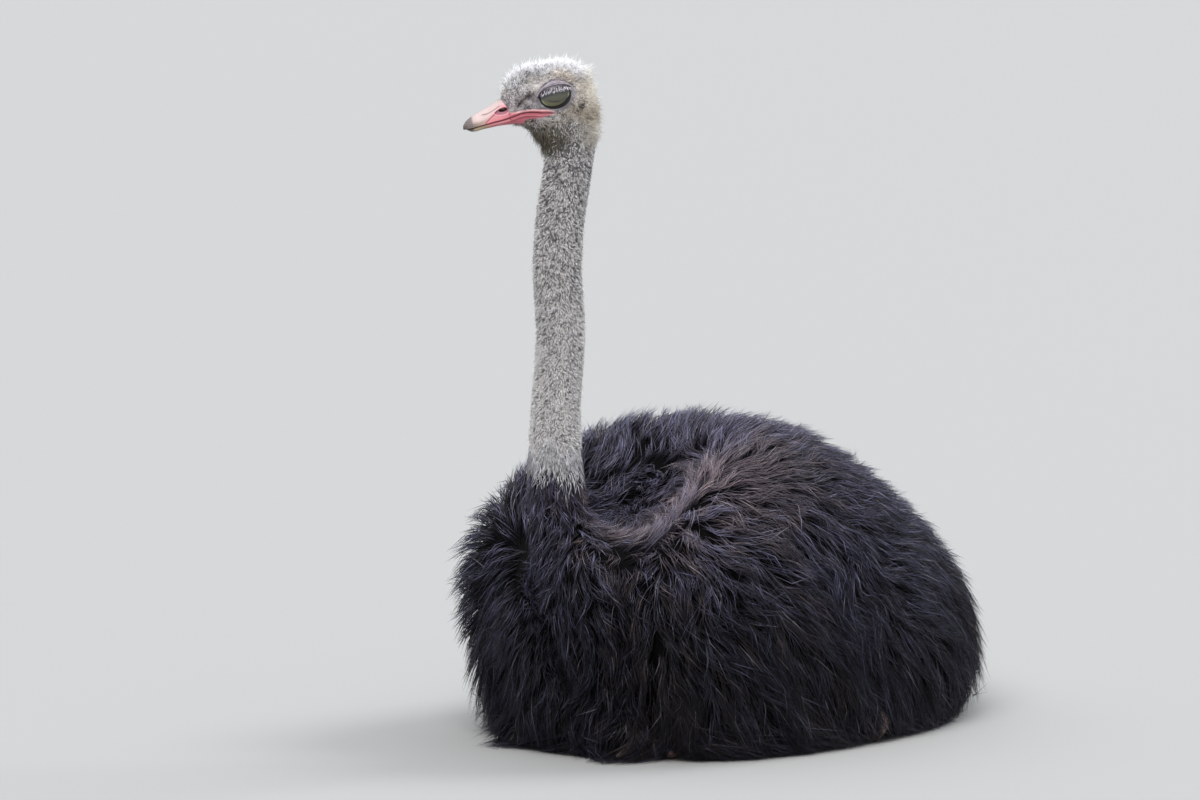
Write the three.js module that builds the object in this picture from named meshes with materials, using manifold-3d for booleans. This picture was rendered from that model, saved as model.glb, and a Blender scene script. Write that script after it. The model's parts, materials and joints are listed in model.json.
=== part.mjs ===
// A male ostrich sitting on the ground with its neck upright and its head turned to its right.
// Millimetres, +Z up. The bird faces -Y, its left side is +X, and it rests on the plane z = 0.
import * as THREE from 'three';
import { mergeVertices } from 'three/addons/utils/BufferGeometryUtils.js';
import Module from 'manifold-3d';

const wasm = await Module();
wasm.setup();

// ---------------------------------------------------------------- driving dimensions

const GAP = 0.4; // clearance between neighbouring solids
const BODY = {
  halfWidth: 318, // of the plumage, at its widest
  front: 412, // from the body's middle to the breast
  back: 458, // and to the rump
  top: 490, // height of the back
  rearDrop: 150, // how far the back falls towards the rump
  widestFront: 205, // height of the widest level at the breast
  widestBack: 105, // and at the rump
  squareness: 2.3, // 2 is an ellipsoid, and more is boxier
  clearance: 7, // the plumage ends this far above the ground
};
const VALLEY = { y: -262, depth: 205, halfWidth: 92, halfLength: 150 }; // hollow for the neck
const WING = {
  x: 312, // middle of a folded wing
  y: 10,
  height: 292,
  halfWidth: 128,
  halfLength: 362,
  halfDepth: 158,
  slope: 9, // degrees, its fall towards the rump
};
const THIGH = { x: 300, y: -10, height: 70, halfWidth: 112, halfLength: 280, halfDepth: 125 };
const TAIL = {
  y: 392,
  reach: 126,
  height: 158,
  halfWidth: 136,
  halfDepth: 122,
  taper: 0.2, // how much narrower it is at its end
  droop: 34, // and how much lower
};
const SIDES = [
  { name: 'left', sign: 1 },
  { name: 'right', sign: -1 },
];
const CREASE = { x: 122, halfWidth: 40, depth: 36 }; // upright groove on each side of the breast
const PAD = { y: -120, radius: 58, height: 60 }; // the breast callosity that the bird rests on
const NECK = {
  foot: 92, // height where its swollen base starts
  feathered: 424, // height where the black feathers of its base end
  half: 672, // height where its two bare lengths meet
  top: 925,
  radius: 36,
  flare: { height: 60, grow: 84, reach: 180 }, // its swelling into the breast
  cuff: { height: 440, grow: 4, reach: 80 }, // the loose ring where the black feathers end
  around: 20,
  rings: 10,
};
const HEAD = {
  place: new THREE.Vector3(-5, -357, 958), // between the eyes
  turn: -48, // degrees from the body's heading, towards the bird's right
};
const EYE = { out: 29, wide: 25, tall: 20, deep: 18 };
const BILL = { root: 74, tip: 128, lowerTip: 123 };
const LEG = {
  hock: new THREE.Vector3(260, 50, 31),
  ball: new THREE.Vector3(118, -206, 26), // where the toes spring from the shank
  shankRadius: 21,
  hockKnob: 20, // how much thicker the hock is
  footKnob: 3, // and the ball of the foot
  room: 28, // between the shank and the plumage
  footRoom: new THREE.Vector3(52, 118, 42), // half sizes of the hollow over the toes
};
const TOES = [
  { name: 'inner', length: 118, radius: 22, spread: -6, claw: 28 },
  { name: 'outer', length: 84, radius: 15, spread: 26, claw: 0 },
];

// ---------------------------------------------------------------- materials

const plumage = new THREE.MeshStandardMaterial({ color: 0x1c1a1d, roughness: 0.85, metalness: 0 });
const plumes = new THREE.MeshStandardMaterial({ color: 0xd6cfc2, roughness: 0.85, metalness: 0 });
const down = new THREE.MeshStandardMaterial({ color: 0xa39a90, roughness: 0.9, metalness: 0 });
const face = new THREE.MeshStandardMaterial({ color: 0x9a918a, roughness: 0.85, metalness: 0 });
const horn = new THREE.MeshStandardMaterial({ color: 0xc77f7f, roughness: 0.5, metalness: 0 });
const lid = new THREE.MeshStandardMaterial({ color: 0x77756a, roughness: 0.45, metalness: 0 });
const scute = new THREE.MeshStandardMaterial({ color: 0x8a6f64, roughness: 0.6, metalness: 0 });
const clawHorn = new THREE.MeshStandardMaterial({ color: 0x3a3430, roughness: 0.5, metalness: 0 });

// ---------------------------------------------------------------- shared helpers

const lerp = THREE.MathUtils.lerp;
const radians = THREE.MathUtils.degToRad;

/** A closed geometry as a manifold-3d solid, turned right side out. */
function solidOf(geometry) {
  const bare = geometry.clone();
  bare.deleteAttribute('normal');
  bare.deleteAttribute('uv');
  const merged = mergeVertices(bare, 1e-3);
  const triVerts = new Uint32Array(merged.index.array);
  const vertProperties = new Float32Array(merged.attributes.position.array);
  const made = new wasm.Manifold(new wasm.Mesh({ numProp: 3, vertProperties, triVerts }));
  if (made.volume() >= 0) return made;
  for (let i = 0; i < triVerts.length; i += 3) {
    [triVerts[i + 1], triVerts[i + 2]] = [triVerts[i + 2], triVerts[i + 1]];
  }
  return new wasm.Manifold(new wasm.Mesh({ numProp: 3, vertProperties, triVerts }));
}

/** A manifold-3d solid as a three.js geometry. */
function geometryOf(solid) {
  const mesh = solid.getMesh();
  const geometry = new THREE.BufferGeometry();
  const position = new Float32Array(mesh.numVert * 3);
  for (let i = 0; i < mesh.numVert; i++) {
    position.set(mesh.vertProperties.subarray(i * mesh.numProp, i * mesh.numProp + 3), i * 3);
  }
  geometry.setAttribute('position', new THREE.BufferAttribute(position, 3));
  geometry.setIndex(new THREE.BufferAttribute(mesh.triVerts, 1));
  geometry.computeVertexNormals();
  return geometry;
}

/** A named mesh of one solid or geometry. */
function node(name, shape, material) {
  const geometry = shape instanceof THREE.BufferGeometry ? shape : geometryOf(shape);
  const mesh = new THREE.Mesh(geometry, material);
  mesh.name = name;
  return mesh;
}

/** A geometry with each vertex moved to place(vertex). */
function reshaped(geometry, place) {
  const position = geometry.getAttribute('position');
  const vertex = new THREE.Vector3();
  for (let i = 0; i < position.count; i++) {
    const moved = place(vertex.fromBufferAttribute(position, i));
    position.setXYZ(i, moved.x, moved.y, moved.z);
  }
  return geometry;
}

/** A ball with its surface moved out to place(direction). */
function ball(around, along, place) {
  return reshaped(new THREE.SphereGeometry(1, around, along), (v) => place(v.clone().normalize()));
}

/** An ellipsoid with its centre and half sizes. */
function ellipsoid(centre, half, around = 28, along = 18) {
  return ball(around, along, (d) => d.multiply(half).add(centre));
}

/** A round bar with flat ends: section(t, across, up) places each point for t from 0 to 1. */
function bar(around, along, section) {
  const geometry = new THREE.CylinderGeometry(1, 1, 1, around, along);
  return reshaped(geometry, (v) => section(v.y + 0.5, v.x, v.z));
}

/** A bar with round ends, where the rings follow half a circle at each end. */
function roundBar(around, along, section) {
  const geometry = new THREE.SphereGeometry(1, around, along);
  return reshaped(geometry, (v) => {
    const t = (1 - v.y) / 2;
    return section(t, v.x, v.z);
  });
}

/** A smooth value through evenly spaced samples, for t from 0 to 1. */
function through(samples, t) {
  const place = THREE.MathUtils.clamp(t, 0, 1) * (samples.length - 1);
  const i = Math.min(Math.floor(place), samples.length - 2);
  const f = place - i;
  const a = samples[Math.max(i - 1, 0)];
  const b = samples[i];
  const c = samples[i + 1];
  const d = samples[Math.min(i + 2, samples.length - 1)];
  return b + 0.5 * f * (c - a + f * (2 * a - 5 * b + 4 * c - d + f * (3 * (b - c) + d - a)));
}

// ---------------------------------------------------------------- body

const smooth = THREE.MathUtils.smoothstep;

/** A rounded bump or hollow over the ground plane, 1 at its middle. */
function mound(x, y, place) {
  return Math.exp(-(((x - place.x) / place.halfWidth) ** 2) - ((y - place.y) / place.halfLength) ** 2);
}

// Low swellings of the plumage over the body: shoulders, hips and rump.
const SWELLINGS = [
  { x: 190, y: -190, halfWidth: 110, halfLength: 140, height: 6 },
  { x: -190, y: -190, halfWidth: 110, halfLength: 140, height: 6 },
  { x: 0, y: 330, halfWidth: 150, halfLength: 110, height: 18 },
];

/** The plumage's surface in a direction from the body's middle, moved out by grow. */
function bodySurface(direction, grow = 0) {
  const n = BODY.squareness;
  const total = Math.abs(direction.x) ** n + Math.abs(direction.y) ** n + Math.abs(direction.z) ** n;
  const unit = direction.clone().multiplyScalar(total ** (-1 / n));
  const along = (unit.y + 1) / 2;
  const x = unit.x * (BODY.halfWidth + grow);
  const groove = CREASE.depth * Math.exp(-(((Math.abs(x) - CREASE.x) / CREASE.halfWidth) ** 2));
  const front = BODY.front + grow - groove;
  const y = unit.y * (unit.y < 0 ? front : BODY.back + grow);
  const widest = lerp(BODY.widestFront, BODY.widestBack, smooth(along, 0.05, 0.95));
  if (unit.z < 0) {
    const depth = widest / lerp(0.62, 0.56, along);
    return new THREE.Vector3(x, y, Math.max(widest + unit.z * (depth + grow), BODY.clearance - grow));
  }
  const top = BODY.top - BODY.rearDrop * smooth(along, 0.45, 1);
  let z = widest + unit.z * (top - widest + grow);
  for (const swelling of SWELLINGS) z += swelling.height * unit.z * mound(x, y, swelling);
  z -= VALLEY.depth * smooth(unit.z, 0.05, 0.6) * mound(x, y, { x: 0, ...VALLEY });
  return new THREE.Vector3(x, y, z);
}

const wholeBody = (grow) => solidOf(ball(34, 20, (d) => bodySurface(d, grow)));

/** What a wing covers: the upper flank, from the high shoulder to the lower rump. */
function wingRegion(sign, grow) {
  const half = new THREE.Vector3(WING.halfWidth, WING.halfLength, WING.halfDepth).addScalar(grow);
  const region = ellipsoid(new THREE.Vector3(0, 0, 0), half, 18, 12);
  region.rotateX(radians(-WING.slope));
  return solidOf(region.translate(sign * WING.x, WING.y, WING.height));
}

/** What a thigh covers: the lower flank, under the wing. */
function thighRegion(sign, grow) {
  const centre = new THREE.Vector3(sign * THIGH.x, THIGH.y, THIGH.height);
  const half = new THREE.Vector3(THIGH.halfWidth, THIGH.halfLength, THIGH.halfDepth).addScalar(grow);
  return solidOf(ellipsoid(centre, half, 16, 10));
}

/** The hollow in the plumage that a leg and its foot lie in. */
function legRoom(sign) {
  const path = new THREE.LineCurve3(LEG.hock, LEG.ball);
  const shankRoom = roundBar(10, 6, (t, x, z) => {
    const centre = path.getPoint(lerp(-0.28, 1.2, t));
    const round = 1 / Math.sqrt(Math.max(1e-6, 1 - (1 - 2 * t) ** 2));
    const end = Math.sqrt(Math.max(0, 1 - Math.abs(1 - 2 * t) ** 8));
    const radius = (LEG.shankRadius + LEG.room) * round * end;
    return new THREE.Vector3(sign * (centre.x + x * radius), centre.y, 22 + z * radius);
  });
  const footCentre = new THREE.Vector3(sign * (LEG.ball.x + 4), LEG.ball.y - 70, 10);
  const footRoom = ellipsoid(footCentre, LEG.footRoom, 10, 7);
  return solidOf(shankRoom).add(solidOf(footRoom));
}

function wing(side, body) {
  return node(`wing_${side.name}`, body.intersect(wingRegion(side.sign, 0)), plumage);
}

function thigh(side, body) {
  const flank = body.intersect(thighRegion(side.sign, 0));
  const parted = flank.subtract(wingRegion(side.sign, GAP)).subtract(legRoom(side.sign));
  return node(`thigh_${side.name}`, largestPiece(parted), plumage);
}

/** The trunk, which rests on a flat callosity under the breast. */
function trunk(body) {
  const pad = new THREE.CylinderGeometry(PAD.radius, PAD.radius * 0.8, PAD.height, 18)
    .rotateX(Math.PI / 2)
    .scale(1, 1.35, 1)
    .translate(0, PAD.y, PAD.height / 2);
  let shape = body;
  for (const side of SIDES) {
    shape = shape.subtract(wingRegion(side.sign, GAP));
    shape = shape.subtract(thighRegion(side.sign, GAP)).subtract(legRoom(side.sign));
  }
  return node('trunk', largestPiece(shape.add(solidOf(pad)).subtract(neckRoom())), plumage);
}

// ---------------------------------------------------------------- tail

/** The drooping tail plumes behind the rump, narrower and lower towards their ends. */
function tail(bodyRoom) {
  const shape = ball(14, 8, (d) => {
    const out = Math.max(0, d.y);
    const x = d.x * TAIL.halfWidth * (1 - TAIL.taper * out);
    const z = TAIL.height + d.z * TAIL.halfDepth - TAIL.droop * out;
    return new THREE.Vector3(x, TAIL.y + d.y * TAIL.reach, z);
  });
  return node('tail', largestPiece(solidOf(shape).subtract(bodyRoom)), plumes);
}

// ---------------------------------------------------------------- neck

const neckLine = new THREE.CatmullRomCurve3(
  [
    [0, -212, 60],
    [0, -244, 120],
    [0, -284, 190],
    [0, -322, 260],
    [0, -348, 330],
    [0, -354, 410],
    [0, -354, 500],
    [2, -346, 610],
    [0, -350, 720],
    [2, -346, 780],
    [9, -338, 850],
    [14, -332, 950],
  ].map((p) => new THREE.Vector3(...p)),
);

/** The neck's radius at a height. */
function neckRadius(z) {
  const swelling = (ring) => ring.grow * Math.exp(-(((z - ring.height) / ring.reach) ** 2));
  return NECK.radius + swelling(NECK.flare) + swelling(NECK.cuff);
}

const neckSamples = neckLine.getSpacedPoints(200);

/** The point on the neck's centre line at a height. */
function neckCentre(z) {
  const i = neckSamples.findIndex((p) => p.z >= z);
  if (i <= 0) return neckSamples[0].clone();
  const a = neckSamples[i - 1];
  const b = neckSamples[i];
  return a.clone().lerp(b, (z - a.z) / (b.z - a.z));
}

/** A length of the neck between two heights, with level ends. */
function neckLength(low, high, along, grow = 0) {
  return bar(NECK.around, along, (t, x, y) => {
    const z = lerp(low, high, t);
    const radius = neckRadius(z) + grow;
    return neckCentre(z).add(new THREE.Vector3(x * radius, -y * radius, 0)).setZ(z);
  });
}

const neckRoom = () => solidOf(neckLength(NECK.foot - GAP, NECK.feathered, NECK.rings, GAP));

/** The feathered base, which springs from the breast and swells towards it. */
function neckBase() {
  return node('neck_base', solidOf(neckLength(NECK.foot, NECK.feathered, NECK.rings)), plumage);
}

function neckLower() {
  return node('neck_lower', solidOf(neckLength(NECK.feathered + GAP, NECK.half, 7)), down);
}

/** The upper length ends inside the head's underside, cut to its shape. */
function neckUpper(headRoom) {
  const length = solidOf(neckLength(NECK.half + GAP, NECK.top, 8));
  return node('neck_upper', length.subtract(headRoom), down);
}

// ---------------------------------------------------------------- head, in its own frame

// The head faces -Y in its own frame, whose origin is between the eyes. Evenly spaced from nape to bill root:
const CROWN = [-10, 40, 50, 51.5, 50.5, 48, 40, 8];
const JAW = [-62, -82, -84, -79, -68, -51, -46, -45];
const CHEEK = [18, 34, 40, 42, 41, 36, 30, 25];
const NAPE = 70; // how far the nape is behind the origin

/** A ring's direction from a ball's direction, and how far along the ball it is, from 0 to 1. */
function ringOf(direction) {
  const t = Math.acos(THREE.MathUtils.clamp(direction.y, -1, 1)) / Math.PI;
  const ring = new THREE.Vector2(direction.x, direction.z);
  if (t < 1e-4 || t > 1 - 1e-4) return { t, ring: ring.set(0, 0) };
  return { t, ring: ring.normalize() };
}

/** Outline of the head from nape to bill root. */
function headShape(grow = 0) {
  return ball(20, 14, (d) => {
    const { t, ring } = ringOf(d);
    const forward = lerp(-NAPE - grow, BILL.root + 4 + grow, t);
    const blunt = Math.min(1, Math.sin(Math.PI * t) * 2.1) ** 0.62;
    const top = through(CROWN, t) + grow;
    const bottom = through(JAW, t) - grow;
    const across = (through(CHEEK, t) + grow) * blunt;
    const tall = ((top - bottom) / 2) * blunt;
    const squared = (Math.abs(ring.x) ** 2.3 + Math.abs(ring.y) ** 2.3 || 1) ** (-1 / 2.3);
    const level = (top + bottom) / 2 + ring.y * tall * squared;
    return new THREE.Vector3(ring.x * across * squared, -forward, level);
  });
}

function eyeShape(sign, grow = 0) {
  const half = new THREE.Vector3(EYE.deep + grow, EYE.wide + grow, EYE.tall + grow);
  return solidOf(ellipsoid(new THREE.Vector3(sign * EYE.out, 0, 0), half, 14, 8));
}

/** Height of the line where the two halves of the bill meet. */
const mouthLine = (forward) => -35 - 0.25 * (forward - BILL.root);

/** Upper bill: broad and flat, with a rounded nail at its tip. */
function billUpperShape(grow = 0) {
  return ball(14, 10, (d) => {
    const { t, ring } = ringOf(d);
    const forward = lerp(BILL.root - 6 - grow, BILL.tip + grow, t);
    const end = Math.sqrt(Math.max(0, 1 - t ** 6));
    const top = through([2, -5, -12, -19, -26, -34, -46], t) + grow;
    const across = (through([24, 22, 20, 18, 16, 14.5, 13], t) + grow) * end;
    const mouth = mouthLine(forward);
    const lift = ring.y > 0 ? (top - mouth) * end : 2 + grow;
    return new THREE.Vector3(ring.x * across, -forward, mouth + ring.y * lift);
  });
}

/** Lower bill, thin and spoon-shaped under the upper one. */
function billLowerShape() {
  return ball(12, 8, (d) => {
    const { t, ring } = ringOf(d);
    const forward = lerp(BILL.root - 20, BILL.lowerTip, t);
    const end = Math.sqrt(Math.max(0, 1 - t ** 5));
    const across = through([24, 22, 20, 18, 16, 14, 12], t) * end;
    const depth = through([13, 11, 9, 6, 5.5, 5, 4], t) * end;
    const level = mouthLine(forward) - 1 + ring.y * (ring.y > 0 ? 1 : depth);
    return new THREE.Vector3(ring.x * across, -forward, level);
  });
}

/** A slanting slot on each side of the upper bill. */
function nostril(sign) {
  const slot = ellipsoid(new THREE.Vector3(0, 0, 0), new THREE.Vector3(5, 8.5, 3.4), 8, 5);
  slot.rotateX(radians(12));
  return solidOf(slot.translate(sign * 19, -(BILL.root + 8), -24));
}

function head() {
  let skull = solidOf(headShape());
  for (const side of SIDES) skull = skull.subtract(eyeShape(side.sign, GAP));
  return node('head', skull, face);
}

function billUpper() {
  let shape = solidOf(billUpperShape());
  for (const side of SIDES) shape = shape.subtract(nostril(side.sign));
  return node('bill_upper', shape.subtract(solidOf(headShape(GAP))), horn);
}

function billLower() {
  const shape = solidOf(billLowerShape()).subtract(solidOf(headShape(GAP)));
  return node('bill_lower', shape.subtract(solidOf(billUpperShape(GAP))), horn);
}

const headTurn = new THREE.Euler(0, 0, radians(HEAD.turn));

/** The head's group: skull, bill and eyes, placed and turned on the neck. */
function headGroup() {
  const group = new THREE.Group();
  group.position.copy(HEAD.place);
  group.rotation.copy(headTurn);
  group.add(head(), billUpper(), billLower());
  for (const side of SIDES) group.add(node(`eye_${side.name}`, eyeShape(side.sign), lid));
  return group;
}

/** The head's outline in the body's frame, with the clearance that the neck keeps to it. */
function headRoomOnNeck() {
  const place = new THREE.Matrix4().makeRotationFromEuler(headTurn).setPosition(HEAD.place);
  return solidOf(headShape(GAP).applyMatrix4(place));
}

// ---------------------------------------------------------------- legs

/** A point lifted to the ground where it would lie below it, so that a leg rests on small flats. */
function grounded(point) {
  return point.setZ(Math.max(point.z, 0));
}

/** The scaly shank, lying from the hock forward to the ball of the foot. */
function shankSolid(side) {
  const path = new THREE.LineCurve3(LEG.hock, LEG.ball);
  const shape = roundBar(12, 11, (t, x, z) => {
    const centre = path.getPoint(lerp(-0.06, 0.995, t));
    const round = 1 / Math.sqrt(Math.max(1e-6, 1 - (1 - 2 * t) ** 2));
    const end = Math.sqrt(Math.max(0, 1 - Math.abs(1 - 2 * t) ** 9));
    const knob = LEG.hockKnob * Math.exp(-(((t - 0.06) / 0.09) ** 2));
    const foot = LEG.footKnob * Math.exp(-(((t - 1) / 0.12) ** 2));
    const radius = (LEG.shankRadius + knob + foot) * end * round;
    return grounded(
      new THREE.Vector3(side.sign * (centre.x + x * radius), centre.y, centre.z + z * radius),
    );
  });
  return solidOf(shape);
}

const toeWay = (toe, side) => {
  const angle = radians(toe.spread);
  return new THREE.Vector3(side.sign * Math.sin(angle), -Math.cos(angle), 0);
};

/** The point on a toe's top line a distance from the ball of the foot. */
function toeCentre(toe, side, distance) {
  const start = new THREE.Vector3(side.sign * LEG.ball.x, LEG.ball.y, 0);
  return start.addScaledVector(toeWay(toe, side), distance);
}

function toeSolid(toe, side, grow = 0) {
  const across = new THREE.Vector3().crossVectors(toeWay(toe, side), new THREE.Vector3(0, 0, 1));
  const shape = roundBar(10, 9, (t, x, z) => {
    const distance = lerp(6 - grow, toe.length + grow, t);
    const round = 1 / Math.sqrt(Math.max(1e-6, 1 - (1 - 2 * t) ** 2));
    const end = Math.sqrt(Math.max(0, 1 - Math.abs(1 - 2 * t) ** 6));
    const knuckles = 1 + 0.07 * Math.cos(t * Math.PI * 6);
    const taper = lerp(1, 0.66, t) * knuckles * end * round;
    const radius = (toe.radius + grow) * taper;
    const height = toe.radius * lerp(0.95, 0.72, t) * 0.9;
    const centre = toeCentre(toe, side, distance).setZ(height);
    return grounded(centre.addScaledVector(across, x * radius).add(new THREE.Vector3(0, 0, z * radius)));
  });
  return solidOf(shape);
}

/** The two toes of a foot, with the inner one's blunt claw. */
function foot(side) {
  const [inner, outer] = TOES;
  const innerSolid = toeSolid(inner, side).subtract(grownShank(side));
  const outerSolid = toeSolid(outer, side).subtract(grownShank(side)).subtract(toeSolid(inner, side, GAP));
  return [
    node(`shank_${side.name}`, shankSolid(side), scute),
    node(`toe_inner_${side.name}`, innerSolid, scute),
    node(`toe_outer_${side.name}`, largestPiece(outerSolid), scute),
    claw(side, inner),
  ];
}

/** The shank moved out by the clearance, for cutting the toes. */
function grownShank(side) {
  const room = ellipsoid(
    new THREE.Vector3(side.sign * LEG.ball.x, LEG.ball.y, LEG.ball.z),
    new THREE.Vector3(28, 22, 29),
    10,
    6,
  );
  return solidOf(room).add(shankSolid(side));
}

/** The largest closed piece of a solid. */
function largestPiece(solid) {
  return solid.decompose().sort((a, b) => b.volume() - a.volume())[0];
}

/** The inner toe's blunt, nail-like claw. */
function claw(side, toe) {
  const way = toeWay(toe, side);
  const across = new THREE.Vector3().crossVectors(way, new THREE.Vector3(0, 0, 1));
  const shape = roundBar(9, 6, (t, x, z) => {
    const centre = toeCentre(toe, side, toe.length - 12 + toe.claw * t).setZ(12 - 5 * t);
    const width = lerp(11, 4, t);
    const tall = lerp(11, 5, t);
    return grounded(centre.addScaledVector(across, x * width).add(new THREE.Vector3(0, 0, z * tall)));
  });
  return node(`claw_${side.name}`, solidOf(shape).subtract(toeSolid(toe, side, GAP)), clawHorn);
}

// ---------------------------------------------------------------- the whole bird

const bird = new THREE.Group();
const body = wholeBody(0).subtract(neckRoom());
bird.add(trunk(wholeBody(0)), neckBase(), neckLower(), neckUpper(headRoomOnNeck()), headGroup());
bird.add(tail(wholeBody(GAP)));
for (const side of SIDES) bird.add(wing(side, body), thigh(side, body), ...foot(side));

// The origin is the middle of the bird's footprint, on the ground.
const box = new THREE.Box3().setFromObject(bird, true);
const middle = box.getCenter(new THREE.Vector3());
bird.position.set(-middle.x, -middle.y, -box.min.z);

const ostrich = new THREE.Group();
ostrich.add(bird);

export default ostrich;
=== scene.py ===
"""A male ostrich at rest: skin, bill, eyes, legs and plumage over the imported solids."""
import json
import logging
import math
from collections.abc import Callable, Sequence
from dataclasses import dataclass, field
from enum import Enum
from functools import cache

import bmesh
import bpy
import numpy as np
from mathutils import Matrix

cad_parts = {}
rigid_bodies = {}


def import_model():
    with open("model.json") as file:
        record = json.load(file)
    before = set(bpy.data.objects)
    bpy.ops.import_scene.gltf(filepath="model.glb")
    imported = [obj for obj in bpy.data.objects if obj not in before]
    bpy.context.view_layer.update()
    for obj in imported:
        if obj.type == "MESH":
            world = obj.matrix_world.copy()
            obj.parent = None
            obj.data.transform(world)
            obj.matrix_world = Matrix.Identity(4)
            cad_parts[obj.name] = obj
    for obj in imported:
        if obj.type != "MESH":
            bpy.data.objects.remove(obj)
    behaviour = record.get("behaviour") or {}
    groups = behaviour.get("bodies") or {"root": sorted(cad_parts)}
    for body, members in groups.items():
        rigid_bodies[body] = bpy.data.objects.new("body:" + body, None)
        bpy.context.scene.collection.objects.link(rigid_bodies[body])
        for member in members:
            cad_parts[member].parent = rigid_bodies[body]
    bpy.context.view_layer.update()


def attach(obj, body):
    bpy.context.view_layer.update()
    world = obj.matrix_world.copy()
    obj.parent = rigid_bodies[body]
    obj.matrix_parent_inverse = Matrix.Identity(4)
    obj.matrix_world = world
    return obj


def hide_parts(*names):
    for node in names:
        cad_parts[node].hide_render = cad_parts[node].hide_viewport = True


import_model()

import openvdb
from mathutils import Vector

LOG = logging.getLogger("ostrich")
ROW_SHIFT = -0.036166  # the body's own frame to the model's frame, along y
MM = 0.001
PROBE = 0.0012  # step for measuring how a field rises
DOWN = np.array([0.0, 0.0, -1.0])
SIDES = {1: "left", -1: "right"}
Array = np.ndarray
Tone = tuple[float, float, float]


# ------------------------------------------------------------------ numbers


def smooth(value: Array | float, low: float, high: float) -> Array:
    """Smoothly step from 0 at low to 1 at high."""
    t = np.clip((np.asarray(value) - low) / (high - low), 0.0, 1.0)
    return t * t * (3.0 - 2.0 * t)


def bell(value: Array | float, middle: float, width: float) -> Array:
    """A rounded bump, 1 at its middle."""
    return np.exp(-(((np.asarray(value) - middle) / width) ** 2))


def blend_min(a: Array, b: Array, k: float) -> Array:
    """The lower of two fields, with a fillet about k wide."""
    h = np.clip(0.5 + 0.5 * (b - a) / k, 0.0, 1.0)
    return b + (a - b) * h - k * h * (1.0 - h)


def blend_max(a: Array, b: Array, k: float) -> Array:
    """The higher of two fields, with a fillet about k wide."""
    return -blend_min(-a, -b, k)


def unit(vectors: Array) -> Array:
    """Vectors at length 1 along their last axis."""
    return vectors / np.maximum(np.linalg.norm(vectors, axis=-1, keepdims=True), 1e-9)


def flattened(vectors: Array, normals: Array) -> Array:
    """Vectors without their part square to a surface."""
    return vectors - (vectors * normals).sum(-1, keepdims=True) * normals


def turned(ways: Array, axes: Array, angles: Array) -> Array:
    """Vectors turned about axes that they are square to."""
    return ways * np.cos(angles)[..., None] + np.cross(axes, ways) * np.sin(angles)[..., None]


def spot(p: Array, x: float, wide: float, y: float, long: float) -> Array:
    """A rounded patch as seen from above, 1 at its middle."""
    return bell(p[..., 0], x, wide) * bell(p[..., 1], y, long)


def through(places: Sequence[float], values: Sequence[float], at: Array | float) -> Array:
    """A smooth curve through samples at uneven places, held level past both ends.

    Args:
        places: Where the samples stand, rising.
        values: The samples.
        at: Where to read the curve.

    Returns:
        The curve's value at each place asked for.
    """
    x, y = np.asarray(places, float), np.asarray(values, float)
    slope = np.gradient(y, x)
    at = np.clip(at, x[0], x[-1])
    i = np.clip(np.searchsorted(x, at, side="right") - 1, 0, len(x) - 2)
    span = x[i + 1] - x[i]
    t = (at - x[i]) / span
    a = y[i] * (1 + 2 * t) * (1 - t) ** 2 + slope[i] * span * t * (1 - t) ** 2
    return a + y[i + 1] * t * t * (3 - 2 * t) + slope[i + 1] * span * t * t * (t - 1)


@dataclass(frozen=True)
class Waves:
    """A soft, repeatable wandering of values through space, about -1 to 1."""

    seed: int
    size: float
    count: int = 7

    def at(self, points: Array) -> Array:
        """The wandering value at each point."""
        rng = np.random.default_rng(self.seed)
        total = np.zeros(points.shape[:-1])
        for _ in range(self.count):
            way = unit(rng.normal(size=3)) * (2 * math.pi / self.size) * rng.uniform(0.5, 1.5)
            total = total + np.sin(points @ way + rng.uniform(0, 2 * math.pi))
        return total / math.sqrt(self.count)


# ------------------------------------------------------------------ forms


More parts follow.
